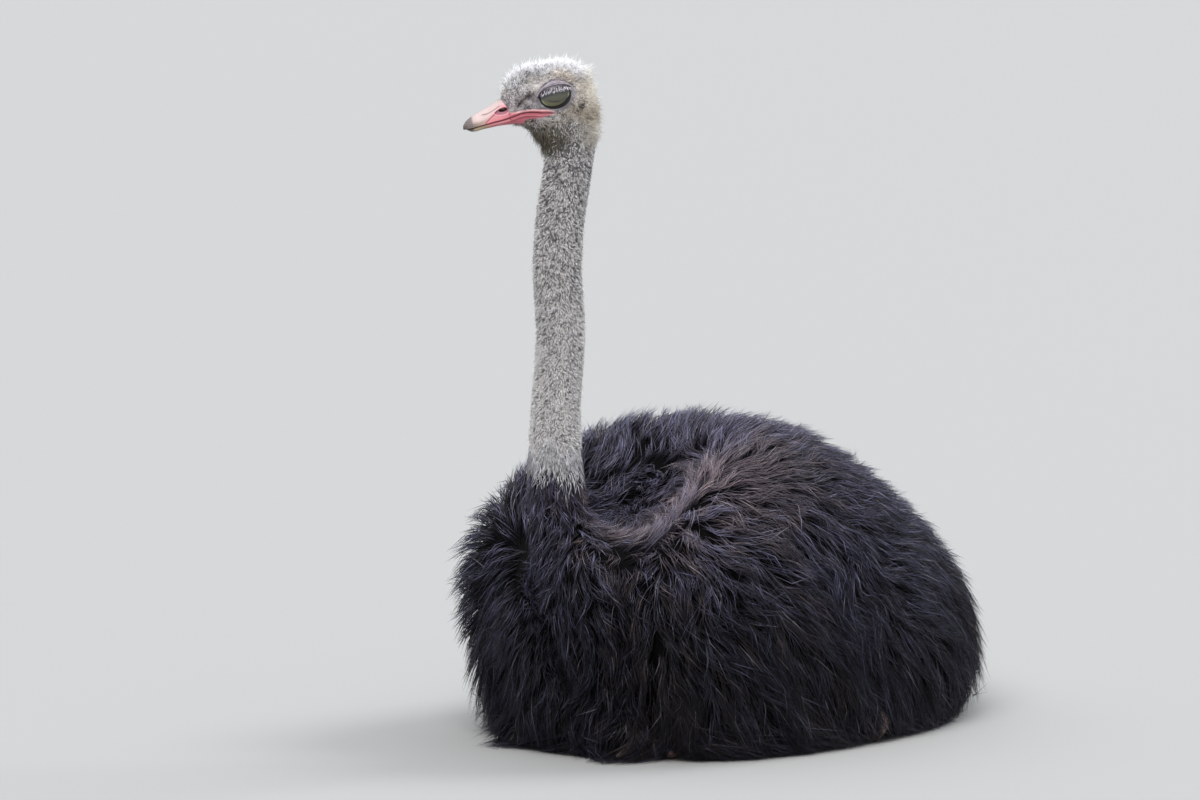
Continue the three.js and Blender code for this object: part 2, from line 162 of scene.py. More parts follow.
@dataclass(frozen=True)
class BodyForm:
    """The outline of the plumage round the body, out to the feather tips."""

    half_width: float = 0.318
    front: float = 0.412
    back: float = 0.458
    top: float = 0.490
    rear_drop: float = 0.150
    widest_front: float = 0.205
    widest_back: float = 0.105
    squareness: float = 2.3
    clearance: float = 0.007
    crease: tuple[float, float, float] = (0.122, 0.040, 0.036)  # middle, half width and depth
    valley: tuple[float, float, float, float] = (-0.262, 0.205, 0.092, 0.150)  # place, depth, half sizes
    swellings: tuple[tuple[float, ...], ...] = (  # place, half sizes and rise of each
        (0.190, -0.190, 0.110, 0.140, 0.006),
        (-0.190, -0.190, 0.110, 0.140, 0.006),
        (0.0, 0.330, 0.150, 0.110, 0.018),
    )

    def surface(self, ways: Array) -> Array:
        """Points of the outline in directions from the body's middle.

        Args:
            ways: Directions, one per row.

        Returns:
            Points in the model's frame, one per row.
        """
        n = self.squareness
        u = ways / (np.abs(ways) ** n).sum(axis=1, keepdims=True) ** (1 / n)
        along = (u[:, 1] + 1) / 2
        x = u[:, 0] * self.half_width
        groove = self.crease[2] * bell(np.abs(x), self.crease[0], self.crease[1])
        y = u[:, 1] * np.where(u[:, 1] < 0, self.front - groove, self.back)
        widest = self.widest_front + (self.widest_back - self.widest_front) * smooth(along, 0.05, 0.95)
        depth = widest / (0.62 - 0.06 * along)
        low = np.maximum(widest + u[:, 2] * depth, self.clearance)
        high = widest + u[:, 2] * (self.top - self.rear_drop * smooth(along, 0.45, 1) - widest)
        for sx, sy, wide, long, rise in self.swellings:
            high = high + rise * u[:, 2] * bell(x, sx, wide) * bell(y, sy, long)
        vy, deep, wide, long = self.valley
        high = high - deep * smooth(u[:, 2], 0.05, 0.6) * bell(x, 0, wide) * bell(y, vy, long)
        return np.stack([x, y + ROW_SHIFT, np.where(u[:, 2] < 0, low, high)], axis=1)

    def shell(self, around: int = 220, along: int = 140) -> tuple[Array, Array]:
        """The outline as a closed mesh of quads, with its poles at breast and rump."""
        a = np.linspace(0, 2 * math.pi, around, endpoint=False)
        t = np.linspace(0, math.pi, along + 1)[1:-1]
        ta, aa = np.meshgrid(t, a, indexing="ij")
        ways = np.stack([np.sin(ta) * np.cos(aa), -np.cos(ta), np.sin(ta) * np.sin(aa)], axis=-1)
        ways = np.concatenate([ways.reshape(-1, 3), [[0, -1, 0], [0, 1, 0]]])
        first, last = len(ways) - 2, len(ways) - 1
        rim = np.arange(around)
        far = (along - 2) * around
        caps = [[first, first, (r + 1) % around, r] for r in rim]
        caps += [[last, last, far + r, far + (r + 1) % around] for r in rim]
        return self.surface(ways), np.concatenate([ring_quads(along - 1, around), np.array(caps)])


@dataclass(frozen=True)
class NeckForm:
    """The neck's centre line and its girth out to the tips of its down."""

    line: tuple[tuple[float, float, float], ...] = (
        (0, -212, 60), (0, -244, 120), (0, -284, 190), (0, -322, 260), (0, -348, 330), (0, -354, 410),
        (0, -354, 500), (2, -346, 610), (0, -350, 720), (2, -346, 780), (9, -338, 850), (14, -332, 950),
    )
    girths: tuple[tuple[float, float], ...] = (
        (0.10, 0.118), (0.18, 0.101), (0.25, 0.081), (0.30, 0.067), (0.335, 0.057), (0.37, 0.0485),
        (0.41, 0.0418), (0.45, 0.0398), (0.50, 0.0370), (0.58, 0.0362),
    )
    foot: float = 0.092
    collar: float = 0.424
    top: float = 0.935

    def centre(self, z: Array) -> tuple[Array, Array]:
        """The centre line's x and y at heights."""
        line = np.array(self.line) * MM
        x = through(line[:, 2], line[:, 0], z)
        return x, through(line[:, 2], line[:, 1], z) + ROW_SHIFT

    def girth(self, z: Array) -> Array:
        """The outline's radius at heights."""
        sizes = np.array(self.girths)
        return through(sizes[:, 0], sizes[:, 1], z)

    def depth(self, z: Array) -> Array:
        """How far the skin lies under the outline at heights."""
        return 0.0036 + 0.007 * (1 - smooth(z, 0.40, 0.47)) + 0.024 * (1 - smooth(z, 0.12, 0.40))

    def distance(self, p: Array, inset: bool = False) -> Array:
        """How far points are outside the neck's outline, or outside its skin."""
        z = p[..., 2]
        x, y = self.centre(z)
        out = np.hypot(p[..., 0] - x, p[..., 1] - y) - self.girth(z)
        if inset:
            out = out + self.depth(z)
        return blend_max(np.maximum(out * 0.97, z - self.top), self.foot - z, 0.02)


@dataclass(frozen=True)
class HeadForm:
    """The head in its own frame, in millimetres: s to the side, f forward and u up from between the eyes."""

    place: tuple[float, float, float] = (-0.001, -0.3535 + ROW_SHIFT, 0.9588)
    turn: float = math.radians(-48)
    stations: tuple[float, ...] = (-62, -56, -48, -38, -24, -9, 6, 20, 36, 48, 58, 66, 72, 78)
    crown: tuple[float, ...] = (-18, 2, 17, 29.5, 38.5, 41.5, 40.5, 38.5, 35.5, 30.5, 23.5, 14.5, 5, -5)
    jaw: tuple[float, ...] = (-66, -74, -80, -82, -82, -80, -77, -68, -50, -44.5, -43.5, -43.2, -43, -42)
    width: tuple[float, ...] = (20, 28, 33.5, 36.5, 38, 38, 36.5, 34, 30.5, 28, 26, 24.5, 23.5, 23)
    globe: tuple[float, float, float] = (17.5, 24.0, 19.5)
    globe_out: float = 25.0
    globe_tilt: float = math.radians(15)
    pleat: float = 2.3
    ear: tuple[float, float] = (-38, -14)

    def to_local(self, p: Array) -> tuple[Array, Array, Array]:
        """Model points in metres as the head's s, f and u in millimetres."""
        q = (p - np.array(self.place)) / MM
        c, s = math.cos(self.turn), math.sin(self.turn)
        return q[..., 0] * c + q[..., 1] * s, q[..., 0] * s - q[..., 1] * c, q[..., 2]

    def to_model(self, s: Array, f: Array, u: Array) -> Array:
        """The head's millimetres as model points in metres."""
        c, t = math.cos(self.turn), math.sin(self.turn)
        x = s * c + f * t
        y = s * t - f * c
        return np.stack([x, y, u + 0 * x], axis=-1) * MM + np.array(self.place)

    def mouth(self, f: Array) -> Array:
        """Height of the line between the bill's halves."""
        return through((0, 10, 22, 38, 47, 58, 72, 89, 102, 118, 131),
                       (-25.6, -25.6, -25.6, -25.8, -27.2, -31.2, -35.7, -40.2, -44, -48.6, -50.5), f)

    def lid_edge(self, f: Array) -> Array:
        """Height of the upper lid's edge over the eye."""
        return through((-24, -12, 0, 10, 17, 23), (11.5, 9, 6.4, 3.4, 0.2, -3.6), f)

    def brow(self, f: Array) -> Array:
        """Height of the crease over the upper lid."""
        return through((-31, -25, -19, -9, -1, 7, 14.5, 22, 27),
                       (9.5, 14.8, 18.5, 21.5, 22, 19.4, 14.4, 7.6, 0), f)

    def lid_fold(self, f: Array) -> Array:
        """Height of the second crease, where the lashes start."""
        return through((-23, -14, -6, 1, 8, 15, 20, 25), (12, 14.6, 14.6, 13.6, 11.6, 7.8, 3.2, -3), f)

    def lid_ripple(self, f: Array, u: Array) -> Array:
        """Fine pleats between the two creases, -1 to 1."""
        return np.sin((u - self.lid_fold(f)) * 2 * math.pi / self.pleat + 0.08 * f)

    def feather_edge(self, u: Array) -> Array:
        """How far forward the feathered skin reaches over the bill, by height."""
        return through((-50, -40, -30, -24, -17, -11, -6, 4), (63, 64, 65, 66.5, 68.5, 74, 79, 80), u)

    def streak(self, f: Array, u: Array) -> Array:
        """How dark the fuzz is on the streak between eye and bill, 0 to 1."""
        line = through((28, 40, 54), (1, -3, -16), f)
        return bell(u - line, 0, 4.5) * smooth(f, 22, 36) * (1 - smooth(f, 51, 58))

    def tilted(self, f: Array, u: Array) -> tuple[Array, Array]:
        """Places along and across the tilted eye."""
        c, s = math.cos(self.globe_tilt), math.sin(self.globe_tilt)
        return f * c - u * s, f * s + u * c

    def eye_ring(self, f: Array, u: Array) -> Array:
        """Place over the eye: 1 at the rim of the opening, and less inside it."""
        along, up = self.tilted(f, u)
        return np.hypot(along / (self.globe[1] - 1), up / (self.globe[2] - 0.5))

    def ear_ring(self, f: Array, u: Array, slant: float = 0.12) -> Array:
        """Place over the ear slit: 1 near its rim, and less inside it."""
        back, low = self.ear
        return np.hypot((f - back + slant * (u - low)) / 4.2, (u - low) / 9.5)

    def skull(self, s: Array, f: Array, u: Array) -> Array:
        """Distance in millimetres outside the head without its eyes."""
        top, low = through(self.stations, self.crown, f), through(self.stations, self.jaw, f)
        mid, half = (top + low) / 2, (top - low) / 2
        v = (u - mid) / half
        front = smooth(f, 28, 60)
        narrow = 0.24 * (1 - front) * smooth(-v, 0.0, 0.9) + 0.22 * smooth(v, 0.15, 1.0)
        wide = through(self.stations, self.width, f) * (1 - narrow)
        power = np.where(v > 0, 2.3, 2.4 + 1.6 * front)
        ring = (np.abs(s / wide) ** power + np.abs(v) ** power) ** (1 / power)
        out = (ring - 1) * np.minimum(wide, half)
        return blend_max(blend_max(out, f - self.feather_edge(u), 2.4), -54 - f, 14.0)

    def eye_distance(self, s: Array, f: Array, u: Array, grow: float = 0.0) -> Array:
        """Distance in millimetres outside the nearer eye's globe."""
        along, up = self.tilted(f, u)
        a, b, d = self.globe[0] + grow, self.globe[1] + grow, self.globe[2] + grow
        ring = np.sqrt(((np.abs(s) - self.globe_out) / a) ** 2 + (along / b) ** 2 + (up / d) ** 2)
        return (ring - 1) * a

    def distance(self, p: Array) -> Array:
        """How far model points are outside the head's skin, in metres."""
        s, f, u = self.to_local(p)
        swell = blend_min(self.skull(s, f, u), self.eye_distance(s, f, u, -1.2), 5.0)
        return swell * MM


@dataclass(frozen=True)
class LegForm:
    """A folded leg's joints, out to the bird's left; the right leg mirrors them."""

    hock: tuple[float, float, float] = (0.260, 0.050 + ROW_SHIFT, 0.031)
    ball: tuple[float, float, float] = (0.118, -0.206 + ROW_SHIFT, 0.026)
    toe_end: tuple[float, float, float] = (0.105, -0.338 + ROW_SHIFT, 0.016)
    rooms: tuple[float, float, float] = (0.050, 0.046, 0.036)  # radius kept free at each joint

    def gap(self, p: Array) -> Array:
        """How far points are outside the room that the nearer leg keeps free."""
        q = np.stack([np.abs(p[..., 0]), p[..., 1], p[..., 2]], axis=-1)
        best = np.full(p.shape[:-1], np.inf)
        ends = (self.hock, self.ball, self.toe_end)
        for i in range(2):
            a, b = np.array(ends[i]), np.array(ends[i + 1])
            t = np.clip(((q - a) @ (b - a)) / ((b - a) @ (b - a)), 0, 1)
            room = self.rooms[i] + (self.rooms[i + 1] - self.rooms[i]) * t
            best = np.minimum(best, np.linalg.norm(q - a - t[..., None] * (b - a), axis=-1) - room)
        return best


@dataclass
class BirdForm:
    """The whole bird as distance fields: its outline at the feather tips, and its skin."""

    body: BodyForm = field(default_factory=BodyForm)
    neck: NeckForm = field(default_factory=NeckForm)
    head: HeadForm = field(default_factory=HeadForm)
    leg: LegForm = field(default_factory=LegForm)
    cell: float = 0.006
    reach: int = 14  # cells measured on each side of the outline
    coat: float = 0.027  # depth of the coat over the skin
    bowl: float = 0.015  # more depth in the hollow beside the neck's foot
    swell: float = 0.022  # how far the right breast bulges
    swell_way: tuple[float, float] = (0.743, 0.669)
    fold: float = 0.026  # depth of the breast's fold
    skin_fold: float = 0.022  # and in the skin
    cover: float = 0.003  # least depth of the skin under the outline
    deep_cover: float = 0.013  # and how much more below the neck's collar
    pad: tuple[float, ...] = (-0.120 + ROW_SHIFT, 0.056, 0.075, 0.055)  # place, half sizes, height
    tail: tuple[float, ...] = (0.0, 0.350, 0.176, 0.100, 0.104, 0.080)  # middle and half sizes
    low: Array = field(default_factory=lambda: np.array([-63, -96, -6]))  # first cell of the grid
    count: Array = field(default_factory=lambda: np.array([127, 180, 182]))
    values: Array | None = None

    def __post_init__(self) -> None:
        """Measure the body's outline once, on a grid."""
        points, quads = self.body.shell()
        scale = openvdb.createLinearTransform(voxelSize=self.cell)
        level = openvdb.FloatGrid.createLevelSetFromPolygons(
            points.astype(np.float32), quads=quads.astype(np.uint32), transform=scale, halfWidth=self.reach)
        values = np.full(tuple(self.count), self.cell * self.reach, np.float32)
        level.copyToArray(values, ijk=tuple(int(i) for i in self.low))
        self.values = values

    def body_distance(self, p: Array) -> Array:
        """How far points are outside the plumage of the body."""
        place = p / self.cell - self.low
        base = np.clip(np.floor(place).astype(int), 0, self.count - 2)
        t = np.clip(place - base, 0, 1)
        total = np.zeros(p.shape[:-1])
        for corner in range(8):
            step = np.array([corner & 1, corner >> 1 & 1, corner >> 2 & 1])
            weight = np.prod(np.where(step, t, 1 - t), axis=-1)
            i = base + step
            total = total + weight * self.values[i[..., 0], i[..., 1], i[..., 2]]
        return total

    def dip(self, p: Array) -> Array:
        """How far the hollow beside the neck's foot is sunk."""
        return self.bowl * bell(p[..., 0], 0.125, 0.085) * bell(p[..., 1], -0.30, 0.10)

    def outline(self, p: Array) -> Array:
        """How far points are outside the plumage of body and neck."""
        right, back = self.swell_way
        breast = smooth(-right * p[..., 0] - back * p[..., 1], 0.28, 0.38)
        body = self.body_distance(p) + self.dip(p)
        body = body - self.swell * breast * bell(p[..., 2], 0.23, 0.13)
        whole = blend_min(body, self.neck.distance(p), self.fillet(p)) + self.fold * self.crease(p)
        middle, sizes = np.array(self.tail[:3]), np.array(self.tail[3:])
        rump = (np.linalg.norm((p - middle) / sizes, axis=-1) - 1) * sizes.min()
        toes = blend_max(self.leg.gap(p), p[..., 1] + 0.27, 0.03)
        return blend_min(blend_min(whole, rump, 0.03), toes, 0.03)

    @staticmethod
    def crease_x(z: Array) -> Array:
        """Where the fold between the neck's foot and the right breast runs, by height."""
        return through((0.05, 0.08, 0.176, 0.25, 0.337, 0.38),
                       (0.062, 0.046, 0.010, -0.028, -0.048, -0.05), z)

    def crease(self, p: Array) -> Array:
        """How deep in the breast's fold points are, 0 to 1."""
        z = p[..., 2]
        ahead = smooth(-p[..., 1], 0.33, 0.39) * smooth(z, 0.05, 0.10) * (1 - smooth(z, 0.32, 0.40))
        return bell(p[..., 0] - self.crease_x(z), 0, 0.020) * ahead

    def fillet(self, p: Array) -> Array:
        """How wide the neck blends into the body, widest on its left and behind it."""
        x, y = self.neck.centre(p[..., 2])
        side = smooth((p[..., 0] - x) + 0.5 * (p[..., 1] - y), -0.03, 0.05)
        return 0.020 + 0.15 * side * bell(p[..., 2], 0.27, 0.12)

    def skin(self, p: Array) -> Array:
        """How far points are outside the skin."""
        under = self.coat * (0.35 + 0.65 * smooth(p[..., 2], 0.02, 0.10))
        under = under + self.dip(p)
        whole = blend_min(self.body_distance(p) + under, self.neck.distance(p, inset=True),
                          self.fillet(p) + 0.01) + self.skin_fold * self.crease(p)
        deeper = self.deep_cover * (1 - smooth(p[..., 2], 0.36, 0.43))
        whole = np.maximum(whole, self.outline(p) + self.cover + deeper)
        whole = blend_max(whole, -self.leg.gap(p), 0.02)
        y, wide, long, high = self.pad
        rest = (np.hypot(p[..., 0] / wide, (p[..., 1] - y) / long) - 1) * wide
        whole = blend_min(whole, blend_max(rest, p[..., 2] - high, 0.01), 0.012)
        return np.maximum(blend_min(whole, self.head.distance(p), 0.012), 0.0002 - p[..., 2])

    @staticmethod
    def rise(of: Callable[[Array], Array], p: Array, step: float) -> Array:
        """How much a field differs between a step ahead and a step behind, along each axis."""
        return np.stack([of(p + shift) - of(p - shift) for shift in np.eye(3) * step], axis=-1)

    @classmethod
    def slope(cls, of: Callable[[Array], Array], p: Array, step: float = PROBE) -> Array:
        """Which way a field rises fastest at points, as unit vectors."""
        return unit(cls.rise(of, p, step))

    @classmethod
    def settle(cls, of: Callable[[Array], Array], p: Array, level: Array | float = 0.0,
               times: int = 3) -> Array:
        """Points moved on to where a field has a level.

        Args:
            of: The field.
            p: Points near that level.
            level: The level, one for all or one per point.
            times: How many steps to take.

        Returns:
            The moved points.
        """
        least, longest = 0.15, 0.006
        for _ in range(times):
            rise = cls.rise(of, p, PROBE) / (2 * PROBE)
            size = np.maximum((rise**2).sum(axis=-1), least)
            step = (of(p) - level) / size
            p = p - np.clip(step, -longest, longest)[..., None] * rise
        return p


# ------------------------------------------------------------------ meshes


def new_piece(name: str, points: Array, faces: Sequence[Array], soft: bool = True) -> bpy.types.Object:
    """A mesh object in the scene.

    Args:
        name: Its name.
        points: Its points, one per row.
        faces: Blocks of faces, each with as many columns as its faces have corners.
        soft: Whether it is shaded smooth.

    Returns:
        The new object.
    """
    mesh = bpy.data.meshes.new(name)
    corners = np.concatenate([f.reshape(-1) for f in faces]).astype(np.int32)
    sizes = np.concatenate([np.full(len(f), f.shape[1]) for f in faces])
    starts = (np.cumsum(sizes) - sizes).astype(np.int32)
    mesh.vertices.add(len(points))
    mesh.vertices.foreach_set("co", np.ascontiguousarray(points, np.float32).reshape(-1))
    mesh.loops.add(len(corners))
    mesh.loops.foreach_set("vertex_index", corners)
    mesh.polygons.add(len(sizes))
    mesh.polygons.foreach_set("loop_start", starts)
    mesh.update(calc_edges=True)
    mesh.polygons.foreach_set("use_smooth", np.full(len(sizes), soft))
    piece = bpy.data.objects.new(name, mesh)
    bpy.context.scene.collection.objects.link(piece)
    return piece


def points_of(mesh: bpy.types.Mesh) -> Array:
    """A mesh's points, one per row."""
    points = np.empty(len(mesh.vertices) * 3, np.float32)
    mesh.vertices.foreach_get("co", points)
    return points.reshape(-1, 3).astype(float)


def move_points(mesh: bpy.types.Mesh, points: Array) -> None:
    """Set all of a mesh's points."""
    mesh.vertices.foreach_set("co", points.astype(np.float32).reshape(-1))
    mesh.update()


def ring_quads(rows: int, around: int) -> Array:
    """The quads between neighbouring closed rings of points."""
    i, j = np.meshgrid(np.arange(rows - 1), np.arange(around), indexing="ij")
    k = (j + 1) % around
    quads = np.stack([i * around + j, i * around + k, (i + 1) * around + k, (i + 1) * around + j], -1)
    return quads.reshape(-1, 4)


def paint(piece: bpy.types.Object, name: str, colours: Array) -> None:
    """Give a piece a colour per point, with three columns."""
    full = np.ones((len(colours), 4), np.float32)
    full[:, :3] = colours
    piece.data.attributes.new(name, "FLOAT_COLOR", "POINT").data.foreach_set("color", full.reshape(-1))


def lay_out(piece: bpy.types.Object, places: Array) -> None:
    """Give a piece the flat layout OFBake, with one place per point."""
    corner = np.empty(len(piece.data.loops), np.int32)
    piece.data.loops.foreach_get("vertex_index", corner)
    layer = piece.data.uv_layers.new(name="OFBake")
    layer.uv.foreach_set("vector", places[corner].astype(np.float32).reshape(-1))


def place_piece(piece: bpy.types.Object, slot: str, finish: bpy.types.Material,
                *nodes: str) -> bpy.types.Object:
    """Dress a piece and tie it to the model.

    Args:
        piece: The piece.
        slot: Not used.
        finish: Its material.
        nodes: The solids that it stands for.

    Returns:
        The same piece.
    """
    piece.data.materials.append(finish)
    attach(piece, "root")
    if nodes:
        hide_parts(*nodes)
    return piece


@dataclass
class Spikes:
    """Many slim, three-sided, tapering solids along their own curves."""

    paths: Array  # tuft, point along it, coordinate; the last point is the tip
    widths: Array  # tuft, ring: half width of each ring
    sides: Array  # tuft, coordinate: the way its flat side lies
    tints: Array  # tuft, point along it, colour
    roots: Array  # tuft, place on the flat layout from 0 to 1
    flatness: float = 0.45
    patch: float = 0.003

    def build(self, name: str) -> bpy.types.Object:
        """Make the spikes as one piece.

        Args:
            name: The piece's name.

        Returns:
            The new object, with its colours and its flat layout.
        """
        count, stops = self.paths.shape[:2]
        rings = stops - 1
        ahead = unit(np.diff(self.paths, axis=1))
        across = unit(np.cross(ahead, self.sides[:, None, :]))
        facing = np.cross(across, ahead)
        turns = np.radians([90.0, 210.0, 330.0])
        shape = (np.cos(turns)[None, None, :, None] * facing[:, :, None, :]
                 + np.sin(turns)[None, None, :, None] * self.flatness * across[:, :, None, :])
        ring = self.paths[:, :rings, None, :] + shape * self.widths[:, :, None, None]
        points = np.concatenate([ring.reshape(count, -1, 3), self.paths[:, rings:, :]], axis=1)
        per = rings * 3 + 1
        first = (np.arange(count) * per)[:, None]
        quads = [[3 * k + j, 3 * k + (j + 1) % 3, 3 * k + 3 + (j + 1) % 3, 3 * k + 3 + j]
                 for k in range(rings - 1) for j in range(3)]
        ends = [[3 * rings - 3 + j, 3 * rings - 3 + (j + 1) % 3, per - 1] for j in range(3)] + [[2, 1, 0]]
        faces = [(first[:, :, None] + np.array(part)[None]).reshape(-1, len(part[0]))
                 for part in (quads, ends) if part]
        piece = new_piece(name, points.reshape(-1, 3), faces)
        tint = np.repeat(self.tints[:, :rings], 3, axis=1)
        tint = np.concatenate([tint, self.tints[:, rings:]], axis=1)
        paint(piece, "tint", tint.reshape(-1, 3))
        along = np.concatenate([np.repeat(np.arange(rings), 3), [rings]]) / rings
        over = np.concatenate([np.tile([0.0, 0.5, 1.0], rings), [0.5]])
        local = np.stack([over, along], axis=-1) * self.patch
        spot = np.clip(self.roots, 0, 1)[:, None, :] * (1 - self.patch) + local[None]
        lay_out(piece, spot.reshape(-1, 2))
        return piece


# ------------------------------------------------------------------ finishes


class Socket(Enum):
    """Kinds of socket that a node group may have."""

    NUMBER = "NodeSocketFloat"
    VECTOR = "NodeSocketVector"


@dataclass
class Nodes:
    """A node tree with short ways to add and join its nodes."""

    tree: bpy.types.NodeTree

    def add(self, kind: str, **settings: object) -> bpy.types.Node:
        """Add a node with its settings."""
        node = self.tree.nodes.new(kind)
        for key, value in settings.items():
            setattr(node, key, value)
        return node

    def feed(self, node: bpy.types.Node, **inputs: object) -> bpy.types.Node:
        """Set or join a node's inputs.

        Args:
            node: The node.
            inputs: Values or output sockets by input name, with _ for a space, or by _ and a number.

        Returns:
            The same node.
        """
        for key, value in inputs.items():
            socket = node.inputs[int(key[1:]) if key[1:].isdigit() else key.replace("_", " ")]
            if isinstance(value, bpy.types.NodeSocket):
                self.tree.links.new(value, socket)
            else:
                socket.default_value = value
        return node

    def place(self) -> bpy.types.NodeSocket:
        """The point's own place on the object."""
        return self.add("ShaderNodeTexCoord").outputs["Object"]

    def colour_of(self, name: str) -> bpy.types.NodeSocket:
        """A colour painted on the mesh."""
        return self.add("ShaderNodeAttribute", attribute_name=name).outputs["Color"]

    def maths(self, operation: str, a: object, b: object = 0.0) -> bpy.types.NodeSocket:
        """One sum on two numbers."""
        node = self.add("ShaderNodeMath", operation=operation)
        return self.feed(node, _0=a, _1=b).outputs[0]

    def mix(self, amount: object, a: object, b: object, way: str = "MIX") -> bpy.types.NodeSocket:
        """Two colours mixed."""
        node = self.add("ShaderNodeMix", data_type="RGBA", blend_type=way)
        self.feed(node, _0=amount, _6=a, _7=b)
        return node.outputs[2]

    def more(self, base: object, extra: object, share: float) -> bpy.types.NodeSocket:
        """A number with a share of another added."""
        return self.maths("ADD", base, self.maths("MULTIPLY", extra, share))

    def toned(self, colour: object, mask: object, share: float, tone: Tone) -> bpy.types.NodeSocket:
        """A colour multiplied by a share of a tone where a mask says."""
        return self.mix(self.maths("MULTIPLY", mask, share), colour, (*tone, 1), "MULTIPLY")

    def ramp(self, value: object, low: float, high: float) -> bpy.types.NodeSocket:
        """A number stretched from low..high to 0..1."""
        node = self.add("ShaderNodeMapRange", interpolation_type="SMOOTHSTEP")
        return self.feed(node, Value=value, From_Min=low, From_Max=high).outputs[0]


@dataclass(frozen=True)
class GroupKit:
    """The shader effects that several finishes share, each built once."""

    @staticmethod
    def _open(name: str, ins: dict[str, tuple[Socket, object]], outs: dict[str, Socket]) -> tuple:
        """Start a group with its sockets.

        Args:
            name: The group's name.
            ins: Its inputs, with their kinds and values.
            outs: Its outputs, with their kinds.

        Returns:
            The group, its nodes, its input node and its output node.
        """
        tree = bpy.data.node_groups.new(name, "ShaderNodeTree")
        for key, (kind, value) in ins.items():
            tree.interface.new_socket(key, in_out="INPUT", socket_type=kind.value).default_value = value
        for key, kind in outs.items():
            tree.interface.new_socket(key, in_out="OUTPUT", socket_type=kind.value)
        nodes = Nodes(tree)
        return tree, nodes, nodes.add("NodeGroupInput"), nodes.add("NodeGroupOutput")

    @staticmethod
    @cache
    def mottle() -> bpy.types.NodeTree:
        """Soft blotches over a finer grain, as a mask."""
        tree, n, ins, outs = GroupKit._open(
            "Mottle", {"Place": (Socket.VECTOR, (0, 0, 0)), "Size": (Socket.NUMBER, 60.0),
                       "Grain": (Socket.NUMBER, 0.4)}, {"Mask": Socket.NUMBER})
        place, size = ins.outputs["Place"], ins.outputs["Size"]
        wide = n.feed(n.add("ShaderNodeTexNoise"), Vector=place, Scale=size, Detail=3.0)
        fine_size = n.maths("MULTIPLY", size, 6.5)
        fine = n.feed(n.add("ShaderNodeTexNoise"), Vector=place, Scale=fine_size, Detail=2.0)
        mixed = n.feed(n.add("ShaderNodeMix", data_type="FLOAT"), _0=ins.outputs["Grain"],
                       _2=wide.outputs[0], _3=fine.outputs[0]).outputs[0]
        n.feed(outs, Mask=n.ramp(mixed, 0.32, 0.68))
        return tree

    @staticmethod
    @cache
    def pebbles() -> bpy.types.NodeTree:
        """Small raised cells with sunk borders, as a height and as a mask of the borders."""
        tree, n, ins, outs = GroupKit._open(
            "Pebbles", {"Place": (Socket.VECTOR, (0, 0, 0)), "Size": (Socket.NUMBER, 300.0),
                        "Border": (Socket.NUMBER, 0.12)}, {"Height": Socket.NUMBER, "Border": Socket.NUMBER})
        cell = n.feed(n.add("ShaderNodeTexVoronoi", feature="DISTANCE_TO_EDGE"),
                      Vector=ins.outputs["Place"], Scale=ins.outputs["Size"])
        edge = n.maths("DIVIDE", cell.outputs["Distance"], ins.outputs["Border"])
        height = n.ramp(edge, 0.0, 1.0)
        n.feed(outs, Height=height, Border=n.maths("SUBTRACT", 1.0, height))
        return tree

    @staticmethod
    @cache
    def wrinkles() -> bpy.types.NodeTree:
        """Fine crossing creases, as a height."""
        tree, n, ins, outs = GroupKit._open(
            "Wrinkles", {"Place": (Socket.VECTOR, (0, 0, 0)), "Size": (Socket.NUMBER, 200.0),
                         "Stretch": (Socket.VECTOR, (1.0, 1.0, 2.5))}, {"Height": Socket.NUMBER})
        scaled = n.add("ShaderNodeVectorMath", operation="MULTIPLY")
        n.feed(scaled, _0=ins.outputs["Place"], _1=ins.outputs["Stretch"])
        noise = n.feed(n.add("ShaderNodeTexNoise", noise_type="RIDGED_MULTIFRACTAL"),
                       Vector=scaled.outputs[0], Scale=ins.outputs["Size"], Detail=3.0)
        n.feed(outs, Height=n.ramp(noise.outputs[0], 0.1, 1.3))
        return tree


@dataclass(frozen=True)
class Finish:
    """What all finishes share: a name and a start of the node tree."""

    name: str

    def start(self) -> tuple[bpy.types.Material, Nodes, bpy.types.Node]:
        """A new material with its nodes and its shader."""
        material = bpy.data.materials.new(self.name)
        material.use_nodes = True
        nodes = Nodes(material.node_tree)
        return material, nodes, material.node_tree.nodes["Principled BSDF"]

    @staticmethod
    def use(nodes: Nodes, tree: bpy.types.NodeTree, **inputs: object) -> bpy.types.Node:
        """Place a shared group with its own values."""
        node = nodes.add("ShaderNodeGroup", node_tree=tree)
        return nodes.feed(node, **inputs)

    @classmethod
    def blotches(cls, nodes: Nodes, place: object, size: float, grain: float = 0.5) -> bpy.types.NodeSocket:
        """The mask of the soft blotches at a size."""
        return cls.use(nodes, GroupKit.mottle(), Place=place, Size=size, Grain=grain).outputs["Mask"]

    @classmethod
    def creases(cls, nodes: Nodes, place: object, size: float, **stretch: Tone) -> bpy.types.NodeSocket:
        """The height of the fine creases at a size."""
        return cls.use(nodes, GroupKit.wrinkles(), Place=place, Size=size, **stretch).outputs["Height"]

    @staticmethod
    def bump(nodes: Nodes, shader: bpy.types.Node, height: object, strength: float, depth: float) -> None:
        """Raise the surface by a height."""
        node = nodes.feed(nodes.add("ShaderNodeBump"), Height=height, Strength=strength, Distance=depth)
        nodes.feed(shader, Normal=node.outputs[0])


